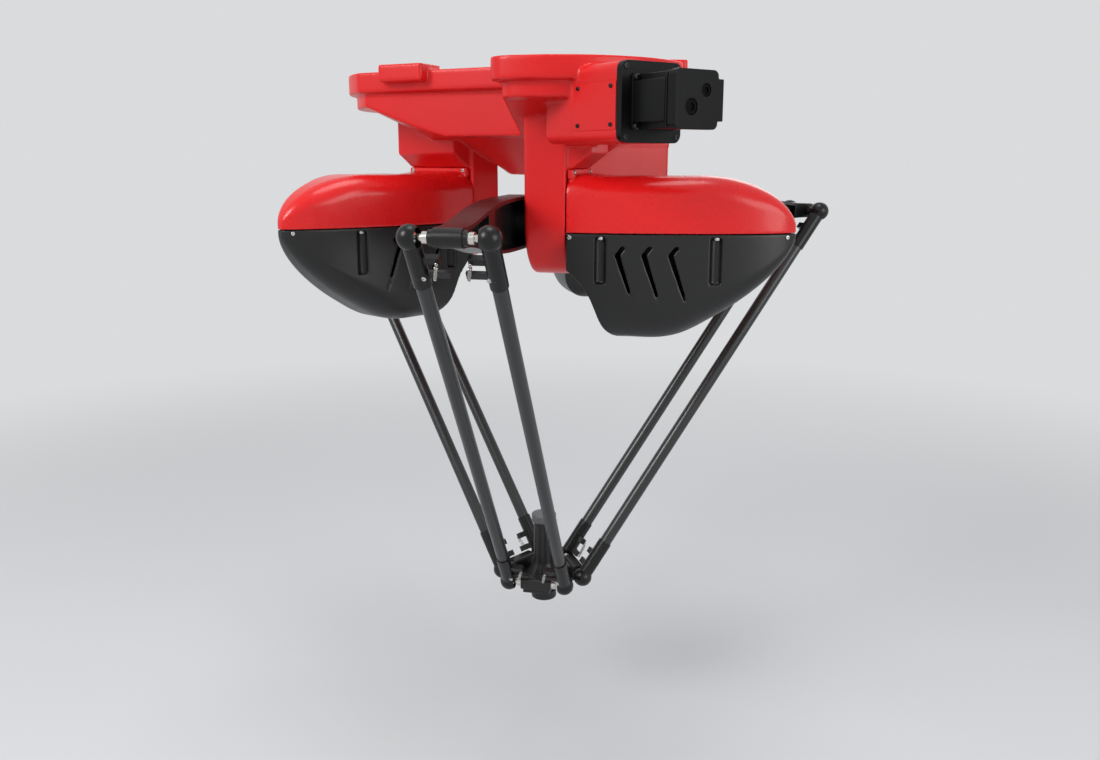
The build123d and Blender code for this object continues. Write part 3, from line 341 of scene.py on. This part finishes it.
red_paint = finish(
    "red_paint",
    sprayed,
    colour=(0.72, 0.012, 0.013),
    roughness=0.36,
    relief=(0.2, 0.0005),
    coat=0.1,
    specular=0.3,
)
castings = ["base_casting"] + [f"drive_housing_{index}" for index in arms]
red_castings = cast_skin("red_castings", castings, grain=0.0018, rounds=9, keep=0.27)
stands_for(red_castings, red_paint, *castings)

# Lid and service plate: flat cut plates let in flush. The lid is grey anodised, the service plate is red.
# Their edges are broken by hand, so each copy gets a fine bevel.
flat_angle = 0.5


def dressed(node, material, width, steps=3, sharp=32.0):
    piece = copy_of(f"{node}_finished", node)
    mesh_work = bmesh.new()
    mesh_work.from_mesh(piece.data)
    bmesh.ops.dissolve_limit(
        mesh_work,
        angle_limit=math.radians(flat_angle),
        verts=mesh_work.verts,
        edges=mesh_work.edges,
        delimit={"NORMAL"},
    )
    mesh_work.to_mesh(piece.data)
    mesh_work.free()
    edge = piece.modifiers.new("broken_edge", "BEVEL")
    edge.width = width
    edge.segments = steps
    edge.limit_method = "ANGLE"
    edge.angle_limit = math.radians(sharp)
    even = piece.modifiers.new("even", "WEIGHTED_NORMAL")
    even.keep_sharp = False
    settle(piece)
    return stands_for(piece, material, node)


# Anodised or moulded surface: fine grain in height, a little unevenness in tone and gloss
grained, given, made = new_group(
    "fine_grain",
    [
        ("Colour", "NodeSocketColor", (0.02, 0.02, 0.02, 1)),
        ("Roughness", "NodeSocketFloat", 0.4),
        ("Grain Size", "NodeSocketFloat", 1500.0),
        ("Unevenness", "NodeSocketFloat", 0.15),
    ],
    [("Colour", "NodeSocketColor"), ("Roughness", "NodeSocketFloat"), ("Height", "NodeSocketFloat")],
)
spot = grained.nodes.new("ShaderNodeTexCoord").outputs["Object"]
uneven_low = add_maths(grained, "SUBTRACT", 1.0, given.outputs["Unevenness"])
uneven_high = add_maths(grained, "ADD", 1.0, given.outputs["Unevenness"])
cloudiness = add_noise(grained, spot, scale=30.0, detail=5.0)
tone_change = add_range(grained, cloudiness, uneven_low, uneven_high)
grained.links.new(add_tint(grained, given.outputs["Colour"], tone_change), made.inputs["Colour"])
rub = add_range(grained, add_noise(grained, spot, scale=90.0, detail=5.0), low=-0.06, high=0.08)
grained.links.new(add_maths(grained, "ADD", given.outputs["Roughness"], rub), made.inputs["Roughness"])
pits = add_noise(grained, spot, scale=given.outputs["Grain Size"], detail=2.0)
grained.links.new(pits, made.inputs["Height"])

grey_anodised = finish(
    "grey_anodised", grained, colour=(0.11, 0.11, 0.115), roughness=0.38, relief=(0.2, 0.0002), metallic=0.6
)
dressed("top_cover_plate", grey_anodised, width=0.0004)
dressed("axis4_cover_plate", red_paint, width=0.0003)

# Screws of the lid, the plates and the pod covers: steel cap screws with round sockets.
# Zinc ones stand in the pods' grooves, and small blackened ones hold the lid and the plates.
brushed, given, made = new_group(
    "turned_metal",
    [
        ("Colour", "NodeSocketColor", (0.6, 0.6, 0.6, 1)),
        ("Roughness", "NodeSocketFloat", 0.25),
        ("Line Size", "NodeSocketFloat", 300.0),
        ("Stain", "NodeSocketFloat", 0.12),
    ],
    [("Colour", "NodeSocketColor"), ("Roughness", "NodeSocketFloat"), ("Height", "NodeSocketFloat")],
)
spot = brushed.nodes.new("ShaderNodeTexCoord").outputs["Object"]
stain_low = add_maths(brushed, "SUBTRACT", 1.0, given.outputs["Stain"])
stain = add_range(brushed, add_noise(brushed, spot, scale=55.0, detail=5.0), stain_low, high=1.06)
brushed.links.new(add_tint(brushed, given.outputs["Colour"], stain), made.inputs["Colour"])
smear = add_range(brushed, add_noise(brushed, spot, scale=160.0, detail=4.0), low=-0.08, high=0.12)
brushed.links.new(add_maths(brushed, "ADD", given.outputs["Roughness"], smear), made.inputs["Roughness"])
line_crowding = 14.0
stretch = brushed.nodes.new("ShaderNodeMapping")
stretch.inputs["Scale"].default_value = (1.0, 1.0, line_crowding)
brushed.links.new(spot, stretch.inputs["Vector"])
lines = add_noise(brushed, stretch.outputs["Vector"], scale=given.outputs["Line Size"], detail=2.0)
brushed.links.new(lines, made.inputs["Height"])

zinc = finish("zinc", brushed, colour=(0.62, 0.62, 0.60), roughness=0.24, relief=(0.1, 0.0001), metallic=1.0)
blackened = finish(
    "blackened", brushed, colour=(0.03, 0.03, 0.03), roughness=0.4, relief=(0.1, 0.0001), metallic=0.7
)

axis4_angle = math.radians(-42.0)
axis4_out = Vector((math.cos(axis4_angle), math.sin(axis4_angle), 0))
axis4_side = Vector((-math.sin(axis4_angle), math.cos(axis4_angle), 0))
screw_rows = {"pod": [], "lid": [], "adapter": [], "service": []}
lid_reach = 0.12
pod_top_z = -0.12
adapter_depth = 0.297
end_depth = 1e-4


# Each separate screw of the node, as its own list of vertices
def loose_groups(mesh_work):
    waiting = set(mesh_work.verts)
    while waiting:
        group = [waiting.pop()]
        for vert in group:
            for edge in vert.link_edges:
                other = edge.other_vert(vert)
                if other in waiting:
                    waiting.remove(other)
                    group.append(other)
        yield group


mesh_work = bmesh.new()
mesh_work.from_mesh(nodes["cover_screws"].data)
bmesh.ops.remove_doubles(mesh_work, verts=mesh_work.verts, dist=weld_distance)
for group in loose_groups(mesh_work):
    middle = sum((vert.co for vert in group), Vector()) / len(group)
    if middle.z < pod_top_z:
        row, facing = "pod", Vector((0, 0, -1))
    elif middle.xy.length < lid_reach:
        row, facing = "lid", Vector((0, 0, 1))
    elif middle.dot(axis4_out) > adapter_depth:
        row, facing = "adapter", axis4_out
    else:
        row, facing = "service", -axis4_side
    reach = max(vert.co.dot(facing) for vert in group)
    end = [vert.co for vert in group if vert.co.dot(facing) > reach - end_depth]
    screw_rows[row].append((sum(end, Vector()) / len(end), facing))
mesh_work.free()


socket_share = 0.52
socket_depth_share = 0.55
head_round_share = 0.3


# Cap screw with a rounded head, a round socket and a short shank; its face looks along the given way
def add_screw(mesh_work, face_middle, facing, radius, head, shank_radius, shank):
    turn = facing.to_track_quat("Z", "Y").to_matrix().to_4x4()
    stand = Matrix.Translation(face_middle) @ turn
    body = bmesh.ops.create_cone(
        mesh_work,
        cap_ends=True,
        segments=28,
        radius1=radius,
        radius2=radius,
        depth=head,
        matrix=stand @ Matrix.Translation((0, 0, -head / 2)),
    )
    top = [face for vert in body["verts"] for face in vert.link_faces if face.normal.dot(facing) > 0.9]
    low = [face for vert in body["verts"] for face in vert.link_faces if face.normal.dot(facing) < -0.9]
    rim_edges = list(top[0].edges)
    bmesh.ops.inset_region(mesh_work, faces=[top[0]], thickness=radius * (1 - socket_share))
    sunk = bmesh.ops.extrude_discrete_faces(mesh_work, faces=[top[0]])["faces"]
    bmesh.ops.translate(mesh_work, verts=sunk[0].verts, vec=-facing * head * socket_depth_share)
    bmesh.ops.bevel(
        mesh_work,
        geom=rim_edges,
        affect="EDGES",
        offset=head * head_round_share,
        segments=3,
        profile=0.5,
        material=-1,
    )
    bmesh.ops.inset_region(mesh_work, faces=[low[0]], thickness=radius - shank_radius)
    stub = bmesh.ops.extrude_discrete_faces(mesh_work, faces=[low[0]])["faces"]
    bmesh.ops.translate(mesh_work, verts=stub[0].verts, vec=-facing * shank)


def new_piece(name, mesh_work, material, body, sharp=35.0):
    for face in mesh_work.faces:
        face.smooth = True
    bmesh.ops.recalc_face_normals(mesh_work, faces=mesh_work.faces)
    mesh = bpy.data.meshes.new(name)
    mesh_work.to_mesh(mesh)
    mesh_work.free()
    mesh.set_sharp_from_angle(angle=math.radians(sharp))
    mesh.materials.append(material)
    piece = bpy.data.objects.new(name, mesh)
    studio.collection.objects.link(piece)
    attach(piece, body)
    return piece


pod_screw_head = 0.0028
pod_screw_size = {"radius": 0.0034, "head": pod_screw_head, "shank_radius": 0.0019, "shank": 0.001}
plate_screw_size = {"radius": 0.0022, "head": 0.0015, "shank_radius": 0.0014, "shank": 0.006}
adapter_screw_size = {"radius": 0.0030, "head": 0.0012, "shank_radius": 0.0018, "shank": 0.008}
mesh_work = bmesh.new()
for face_middle, facing in screw_rows["pod"]:
    add_screw(mesh_work, face_middle, facing, **pod_screw_size)
pod_screws = new_piece("pod_screws", mesh_work, zinc, "base")
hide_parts("cover_screws")

mesh_work = bmesh.new()
for face_middle, facing in screw_rows["service"] + screw_rows["lid"]:
    add_screw(mesh_work, face_middle, facing, **plate_screw_size)
for face_middle, facing in screw_rows["adapter"]:
    add_screw(mesh_work, face_middle, facing, **adapter_screw_size)
new_piece("plate_screws", mesh_work, blackened, "base")

# Fourth-axis drive inside the base: gearbox, two pulleys, the belt and the output shaft.
# They are bare machined steel and black rubber, and only the shaft's end shows.
machined = finish(
    "machined", brushed, colour=(0.50, 0.50, 0.51), roughness=0.32, relief=(0.15, 0.0001), metallic=1.0
)
belt_rubber = finish(
    "belt_rubber", grained, colour=(0.018, 0.018, 0.018), roughness=0.62, relief=(0.4, 0.0003)
)
for node in ("axis4_gearbox", "axis4_drive_pulley", "axis4_output_shaft"):
    dressed(node, machined, width=0.0005)
dressed("axis4_belt", belt_rubber, width=0.0002)

# Fourth-axis adapter plate: a thick black anodised plate with large corner radii.
# Four screws through its corners hold it to the box.
motor_black = finish(
    "motor_black",
    grained,
    colour=(0.004, 0.0041, 0.0043),
    roughness=0.36,
    relief=(0.3, 0.00025),
    specular=0.16,
)
dressed("axis4_adapter_plate", motor_black, width=0.0012, steps=4)

# Fourth-axis motor: an extruded black body with a channel along each corner for its four screws.
# Two thin collars close it, and the moulded rear cover has two connector wells.
def reach_along(node, way):
    reaches = [vert.co.dot(way) for vert in nodes[node].data.vertices]
    return min(reaches), max(reaches)


def add_prism(mesh_work, outline, stand, depth):
    ring = [mesh_work.verts.new(stand @ Vector((x, y, 0))) for x, y in outline]
    grown = bmesh.ops.extrude_face_region(mesh_work, geom=[mesh_work.faces.new(ring)])["geom"]
    far = [item for item in grown if isinstance(item, bmesh.types.BMVert)]
    bmesh.ops.translate(mesh_work, verts=far, vec=stand.to_3x3() @ Vector((0, 0, depth)))
    return ring + far


def notched_square(half, notch):
    corner = ((half, half - notch), (half - notch, half - notch), (half - notch, half))
    for quarter in range(4):
        turn = Matrix.Rotation(math.radians(90 * quarter), 2)
        for point in corner:
            yield turn @ Vector(point)


def rounded_square(half, radius, steps=5):
    for quarter in range(4):
        for step in range(steps + 1):
            turn = math.radians(90 * (quarter + step / steps))
            turned = Matrix.Rotation(math.radians(90 * quarter), 2) @ Vector((half - radius, half - radius))
            yield turned + radius * Vector((math.cos(turn), math.sin(turn)))


plate_face = reach_along("axis4_adapter_plate", axis4_out)[1]
motor_end = reach_along("axis4_motor_body", axis4_out)[1]
rear_face = reach_along("axis4_motor_rear_cover", axis4_out)[1]
plate_low, plate_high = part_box("axis4_adapter_plate")
axis4_middle = sum(reach_along("axis4_adapter_plate", axis4_side)) / 2
axis4_turn = Matrix((axis4_side, Vector((0, 0, 1)), axis4_out)).transposed().to_4x4()


def axis4_stand(reach, across=0.0, up=0.0):
    middle = axis4_side * (axis4_middle + across) + axis4_out * reach
    middle.z = (plate_low[2] + plate_high[2]) / 2 + up
    return Matrix.Translation(middle) @ axis4_turn


motor_half = 0.0268
motor_notch = 0.0065
channel_round = 0.0011
neck_inset = 0.0015
neck_corner = 0.005
collar_thickness = 0.0022
collar_gap = 0.0012
collar_proud = 0.0004
collar_corner = 0.0055
foot_thickness = 0.0025
foot_proud = 0.001
foot_corner = 0.004
long_edge_share = 0.9
edge_break = 0.0004
collars_length = 2 * collar_thickness + 2 * collar_gap
body_length = motor_end - plate_face - collars_length
mesh_work = bmesh.new()
add_prism(mesh_work, notched_square(motor_half, motor_notch), axis4_stand(plate_face), body_length)
channel_edges = [edge for edge in mesh_work.edges if edge.calc_length() > body_length * long_edge_share]
bmesh.ops.bevel(
    mesh_work,
    geom=channel_edges,
    affect="EDGES",
    offset=channel_round,
    segments=3,
    profile=0.5,
    material=-1,
)
neck_stand = axis4_stand(plate_face + body_length)
add_prism(mesh_work, rounded_square(motor_half - neck_inset, neck_corner), neck_stand, collars_length)
for index in range(2):
    start = plate_face + body_length + collar_gap + index * (collar_thickness + collar_gap)
    collar = rounded_square(motor_half + collar_proud, collar_corner)
    add_prism(mesh_work, collar, axis4_stand(start), collar_thickness)
foot = rounded_square(motor_half + foot_proud, foot_corner)
add_prism(mesh_work, foot, axis4_stand(plate_face), foot_thickness)
motor_piece = new_piece("axis4_motor_shell", mesh_work, motor_black, "base")
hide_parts("axis4_motor_body")
soft_edge = motor_piece.modifiers.new("broken_edge", "BEVEL")
soft_edge.width = edge_break
soft_edge.segments = 2
soft_edge.limit_method = "ANGLE"
soft_edge.angle_limit = math.radians(50)

motor_screw_size = {"radius": 0.0032, "head": 0.004, "shank_radius": 0.0020, "shank": 0.002}
motor_screw_rise = motor_screw_size["head"] + foot_thickness
motor_screw_outset = 0.0004
screw_place = motor_half - motor_notch / 2 + motor_screw_outset
mesh_work = bmesh.new()
for across in (-screw_place, screw_place):
    for up in (-screw_place, screw_place):
        face_middle = axis4_stand(plate_face + motor_screw_rise, across, up).translation
        add_screw(mesh_work, face_middle, axis4_out, **motor_screw_size)
new_piece("motor_screws", mesh_work, blackened, "base")
cover_members = ["axis4_motor_rear_cover"]
rear_cover = cast_skin("axis4_rear_cover_moulded", cover_members, grain=0.0006, rounds=2, keep=0.3)
stands_for(rear_cover, motor_black, *cover_members)

well_black = finish(
    "well_black", grained, colour=(0.0015, 0.0015, 0.0015), roughness=0.7, relief=(0.3, 0.0002), specular=0.1
)
wells = {"power": (-0.007, -0.007, 0.0077), "signal": (0.012, 0.009, 0.0061)}
well_depth = 0.0008
insert_depth = 0.003
insert_core_share = 0.6
insert_tail = 0.0001
mesh_work = bmesh.new()
for across, up, radius in wells.values():
    face_middle = axis4_stand(rear_face - well_depth, across, up).translation
    core = radius * insert_core_share
    add_screw(mesh_work, face_middle, axis4_out, radius, insert_depth, core, insert_tail)
new_piece("connector_inserts", mesh_work, well_black, "base")

# Shoulder reducers, their output flanges and the pod motors: bought units with machined rings.
# They show behind the arch of each pod and between the housing and the arm.
dark_steel = finish(
    "dark_steel", brushed, colour=(0.22, 0.22, 0.225), roughness=0.34, relief=(0.15, 0.0001), metallic=0.9
)
for index in arms:
    dressed(f"reducer_{index}", dark_steel, width=0.0012)
    dressed(f"output_flange_{index}", dark_steel, width=0.0006)
    dressed(f"servo_motor_{index}", motor_black, width=0.0010)

# Pod covers: a glossy red upper shell and a satin black lower one, vacuum-formed and 3 mm thick.
# The lower shell has three bent cooling slots and half-round grooves for its screws.
shell_relief = (0.1, 0.0002)
plug_radius = 0.0023
plug_height = 0.012
pod_seam_gap = 0.0004
pod_low, pod_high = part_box("pod_top_cover_1")
parting_z = pod_low[2] - pod_seam_gap


# The covers' screw holes are full of screw, so each is plugged before the skin is drawn
def screw_plugs(upper):
    def fill(mesh_work):
        for face_middle, facing in screw_rows["pod"]:
            low = parting_z + pod_seam_gap if upper else face_middle.z + pod_screw_head
            high = low + plug_height if upper else parting_z - pod_seam_gap
            middle = Vector((face_middle.x, face_middle.y, (low + high) / 2))
            bmesh.ops.create_cone(
                mesh_work,
                cap_ends=True,
                segments=20,
                radius1=plug_radius,
                radius2=plug_radius,
                depth=high - low,
                matrix=Matrix.Translation(middle),
            )

    return fill


red_shell = finish(
    "red_shell",
    sprayed,
    colour=(0.74, 0.010, 0.011),
    roughness=0.27,
    relief=shell_relief,
    coat=0.2,
    specular=0.35,
)
black_shell = finish(
    "black_shell",
    grained,
    colour=(0.009, 0.009, 0.0093),
    roughness=0.34,
    relief=(0.25, 0.0002),
    specular=0.42,
)
for index in arms:
    for half, paint in (("top", red_shell), ("bottom", black_shell)):
        node = f"pod_{half}_cover_{index}"
        plugs = screw_plugs(half == "top")
        shell = cast_skin(f"{node}_finished", [node], grain=0.0013, rounds=4, keep=0.62, fill=plugs)
        stands_for(shell, paint, node)

# Small cap screws of the pods: one at the corner and one near the nose on either side wall, just under
# the parting, and two through the strip at the back. They are zinc plated, as the ones in the grooves.
shoulder_radius = -(pod_low[1] + pod_high[1]) / 2
side_screw_places = ((0.0742, 0.0046), (0.3165, 0.0042))
strip_screw_radii = (0.075, 0.178)
strip_end = 0.0772
strip_screw_rise = 0.068
small_head = 0.0014
side_screw_size = {"radius": 0.0024, "head": small_head, "shank_radius": 0.0012, "shank": 0.002}
strip_screw_size = {"radius": 0.0028, "head": small_head, "shank_radius": 0.0014, "shank": 0.002}
head_stand_share = 0.8
ray_start = 0.2


def arm_turn(index):
    return Matrix.Rotation(2 * math.pi / arm_count * (index - 1), 3, "Z")


mesh_work = bmesh.new()
for index in arms:
    turn = arm_turn(index)
    walls = bmesh.new()
    walls.from_mesh(nodes[f"pod_bottom_cover_{index}"].data)
    surface = BVHTree.FromBMesh(walls)
    for along, drop in side_screw_places:
        for way in (-1, 1):
            start = turn @ Vector((along, -shoulder_radius + way * ray_start, parting_z - drop))
            hit, normal = surface.ray_cast(start, turn @ Vector((0, -way, 0)))[:2]
            if normal.dot(turn @ Vector((0, way, 0))) < 0:
                normal.negate()
            head_middle = hit + normal * small_head * head_stand_share
            add_screw(mesh_work, head_middle, normal, **side_screw_size)
    walls.free()
    for radius in strip_screw_radii:
        face_middle = turn @ Vector((strip_end + small_head, -radius, parting_z + strip_screw_rise))
        add_screw(mesh_work, face_middle, turn @ Vector((1, 0, 0)), **strip_screw_size)
new_piece("pod_small_screws", mesh_work, zinc, "base")

# Upper arms: milled from a black anodised bar, with a web between two flanges and a rib near the tip.
# Six cap screws through the hub hold each arm to its flange.
arm_black = finish(
    "arm_black", grained, colour=(0.010, 0.0095, 0.010), roughness=0.30, relief=(0.2, 0.0002), metallic=0.3
)
for index in arms:
    dressed(f"upper_arm_{index}", arm_black, width=0.0009)
    dressed(f"arm_bolts_{index}", zinc, width=0.0003, steps=2)

# Ball studs: hardened steel, ground and polished, with a collar and a thin neck.
# They are screwed into both ends of the arm's tip and of the platform's bars.
polished = finish(
    "polished",
    brushed,
    colour=(0.64, 0.62, 0.58),
    roughness=0.17,
    relief=(0.05, 0.00005),
    metallic=1.0,
    stain=0.05,
)
for index in arms:
    for node in (f"elbow_ball_studs_{index}", f"wrist_ball_studs_{index}"):
        dressed(node, polished, width=0.0005)

# Rods: thin carbon tubes, bonded into moulded black end fittings that snap over the balls.
# Each fitting has a fixed lug and a pivoting lever, which a spring pulls together.
tube_carbon = finish(
    "tube_carbon", grained, colour=(0.017, 0.0175, 0.018), roughness=0.30, relief=(0.1, 0.0001), coat=0.2
)
fitting_black = finish(
    "fitting_black",
    grained,
    colour=(0.006, 0.006, 0.0065),
    roughness=0.28,
    relief=(0.2, 0.0002),
    specular=0.35,
)
lever_black = finish(
    "lever_black", grained, colour=(0.010, 0.010, 0.010), roughness=0.42, relief=(0.3, 0.0002)
)
bright_wire = finish(
    "bright_wire", brushed, colour=(0.60, 0.585, 0.56), roughness=0.2, relief=(0.05, 0.00005), metallic=1.0
)
for index in arms:
    dressed(f"forearm_tubes_{index}", tube_carbon, width=0.0002, steps=1)
    dressed(f"forearm_fittings_{index}", fitting_black, width=0.0007)
    dressed(f"forearm_levers_{index}", lever_black, width=0.0008)

# Lever pivots: a zinc-plated cross pin through each end fitting, which the lever swings on.
# Its low rounded head rests on the rod's outer face.
pin_far = 0.046
pin_near = 0.016
pin_inward = 0.0062
pin_size = {"radius": 0.0026, "head": 0.0013, "shank_radius": 0.0012, "shank": 0.002}
pin_stand = 0.0012
pin_ray_start = 0.05
ball_radius = 0.008


def box_middle(node):
    low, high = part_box(node)
    return (Vector(low) + Vector(high)) / 2


elbow_middle = box_middle("elbow_ball_studs_1")
wrist_middle = box_middle("wrist_ball_studs_1")
ball_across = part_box("elbow_ball_studs_1")[1][0] - ball_radius
rod_way = (wrist_middle - elbow_middle).normalized()
rod_length = (wrist_middle - elbow_middle).length
rod_outward = rod_way.cross(Vector((1, 0, 0))).normalized()
if rod_outward.y > 0:
    rod_outward.negate()
for index in arms:
    turn = arm_turn(index)
    solids = bmesh.new()
    for node in (f"forearm_fittings_{index}", f"forearm_levers_{index}"):
        solids.from_mesh(nodes[node].data)
    surface = BVHTree.FromBMesh(solids)
    mesh_work = bmesh.new()
    for across in (-1, 1):
        for along in (pin_far, rod_length - pin_near):
            aside = Vector((across * (ball_across - pin_inward), 0, 0))
            start = turn @ (elbow_middle + rod_way * along + aside + rod_outward * pin_ray_start)
            hit = surface.ray_cast(start, turn @ -rod_outward)[0]
            if hit is not None:
                face_middle = hit + turn @ rod_outward * pin_stand
                add_screw(mesh_work, face_middle, turn @ rod_outward, **pin_size)
    solids.free()
    new_piece(f"lever_pins_{index}", mesh_work, zinc, f"forearm_{index}")

# Clip springs: bright tension springs of hard wire, hooked on a pin at the lug's tip and one at the lever's.
# They lie along the outer faces and hold each pair of rods on its balls.
wire_radius = 0.0004
coil_radius = 0.0018
coil_pitch = 0.0012
coil_steps = 14
hook_radius = 0.0014
hook_opening = 70
hook_sweep = 290
hook_steps = 12
spring_rise = 0.0060
spring_pin_radius = 0.0009
spring_pin_length = 0.0060
spring_pin_proud = 0.001
lug_pin_inward = 0.0225
lever_pin_inward = {-1: 0.0170, 1: 0.0275}
elbow_spring_reaches = (0.0285, 0.0480)
platform_spring_reaches = (0.0335, 0.0140)


# The middle line of one spring: a hook, a coil that opens out and closes in, and another hook
def spring_line(start, end, outward):
    way = (end - start).normalized()
    side = outward.cross(way)
    coil_length = (end - start).length - 2 * hook_radius
    turns = round(coil_length / coil_pitch)
    hook = [math.radians(hook_opening + hook_sweep * step / hook_steps) for step in range(hook_steps + 1)]
    points = [start + hook_radius * (way * math.cos(angle) + side * math.sin(angle)) for angle in hook]
    for step in range(1, turns * coil_steps):
        share = step / (turns * coil_steps)
        opened = min(1.0, share * turns, (1 - share) * turns)
        angle = 2 * math.pi * turns * share
        around = outward * math.cos(angle) + side * math.sin(angle)
        points.append(start + way * (hook_radius + coil_length * share) + around * coil_radius * opened)
    turned = math.radians(180 - hook_opening)
    for angle in hook:
        bent = way * math.cos(angle + turned) + side * math.sin(angle + turned)
        points.append(end + hook_radius * bent)
    return points


# Round wire along a line: one ring of corners at each point, joined to the next
def add_wire(mesh_work, points, radius, sides=6):
    normal = (points[1] - points[0]).orthogonal().normalized()
    rings = []
    for place in range(len(points)):
        along = (points[min(place + 1, len(points) - 1)] - points[max(place - 1, 0)]).normalized()
        normal = (normal - along * normal.dot(along)).normalized()
        across = along.cross(normal)
        ring = []
        for side in range(sides):
            angle = 2 * math.pi * side / sides
            shift = normal * math.cos(angle) + across * math.sin(angle)
            ring.append(mesh_work.verts.new(points[place] + shift * radius))
        rings.append(ring)
    for near, far in zip(rings, rings[1:]):
        for side in range(sides):
            after = (side + 1) % sides
            mesh_work.faces.new((near[side], near[after], far[after], far[side]))
    mesh_work.faces.new(rings[0])
    mesh_work.faces.new(rings[-1])


for index in arms:
    turn = arm_turn(index)
    outward = turn @ rod_outward
    mesh_work = bmesh.new()
    for across in (-1, 1):
        for lug_reach, lever_reach in (
            elbow_spring_reaches,
            [rod_length - reach for reach in platform_spring_reaches],
        ):
            ends = []
            for reach, inward in ((lug_reach, lug_pin_inward), (lever_reach, lever_pin_inward[across])):
                aside = Vector((across * (ball_across - inward), 0, 0))
                middle = turn @ (elbow_middle + rod_way * reach + aside)
                ends.append(middle + outward * spring_rise)
                pin_rise = spring_rise + spring_pin_proud - spring_pin_length / 2
                stand = Matrix.Translation(middle + outward * pin_rise)
                bmesh.ops.create_cone(
                    mesh_work,
                    cap_ends=True,
                    segments=14,
                    radius1=spring_pin_radius,
                    radius2=spring_pin_radius,
                    depth=spring_pin_length,
                    matrix=stand @ outward.to_track_quat("Z", "Y").to_matrix().to_4x4(),
                )
            add_wire(mesh_work, spring_line(ends[0], ends[1], outward), wire_radius)
    name = f"wound_springs_{index}"
    springs = new_piece(name, mesh_work, bright_wire, f"forearm_{index}")
    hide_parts(f"forearm_springs_{index}")

# Platform: a milled, black anodised body with its spindle housing and three ledges for the bars.
# A turned cap closes the housing, and the tool flange turns below on two bearings.
platform_black = finish(
    "platform_black",
    grained,
    colour=(0.016, 0.016, 0.0165),
    roughness=0.36,
    relief=(0.2, 0.0002),
    metallic=0.3,
)
cap_grey = finish(
    "cap_grey", brushed, colour=(0.13, 0.13, 0.135), roughness=0.38, relief=(0.1, 0.0001), metallic=0.5
)
for index in arms:
    dressed(f"platform_bar_{index}", platform_black, width=0.0008)
dressed("platform_body", platform_black, width=0.0008)
dressed("platform_bearings", machined, width=0.0003)
dressed("platform_cap", cap_grey, width=0.0008)
dressed("tool_flange", platform_black, width=0.0005)
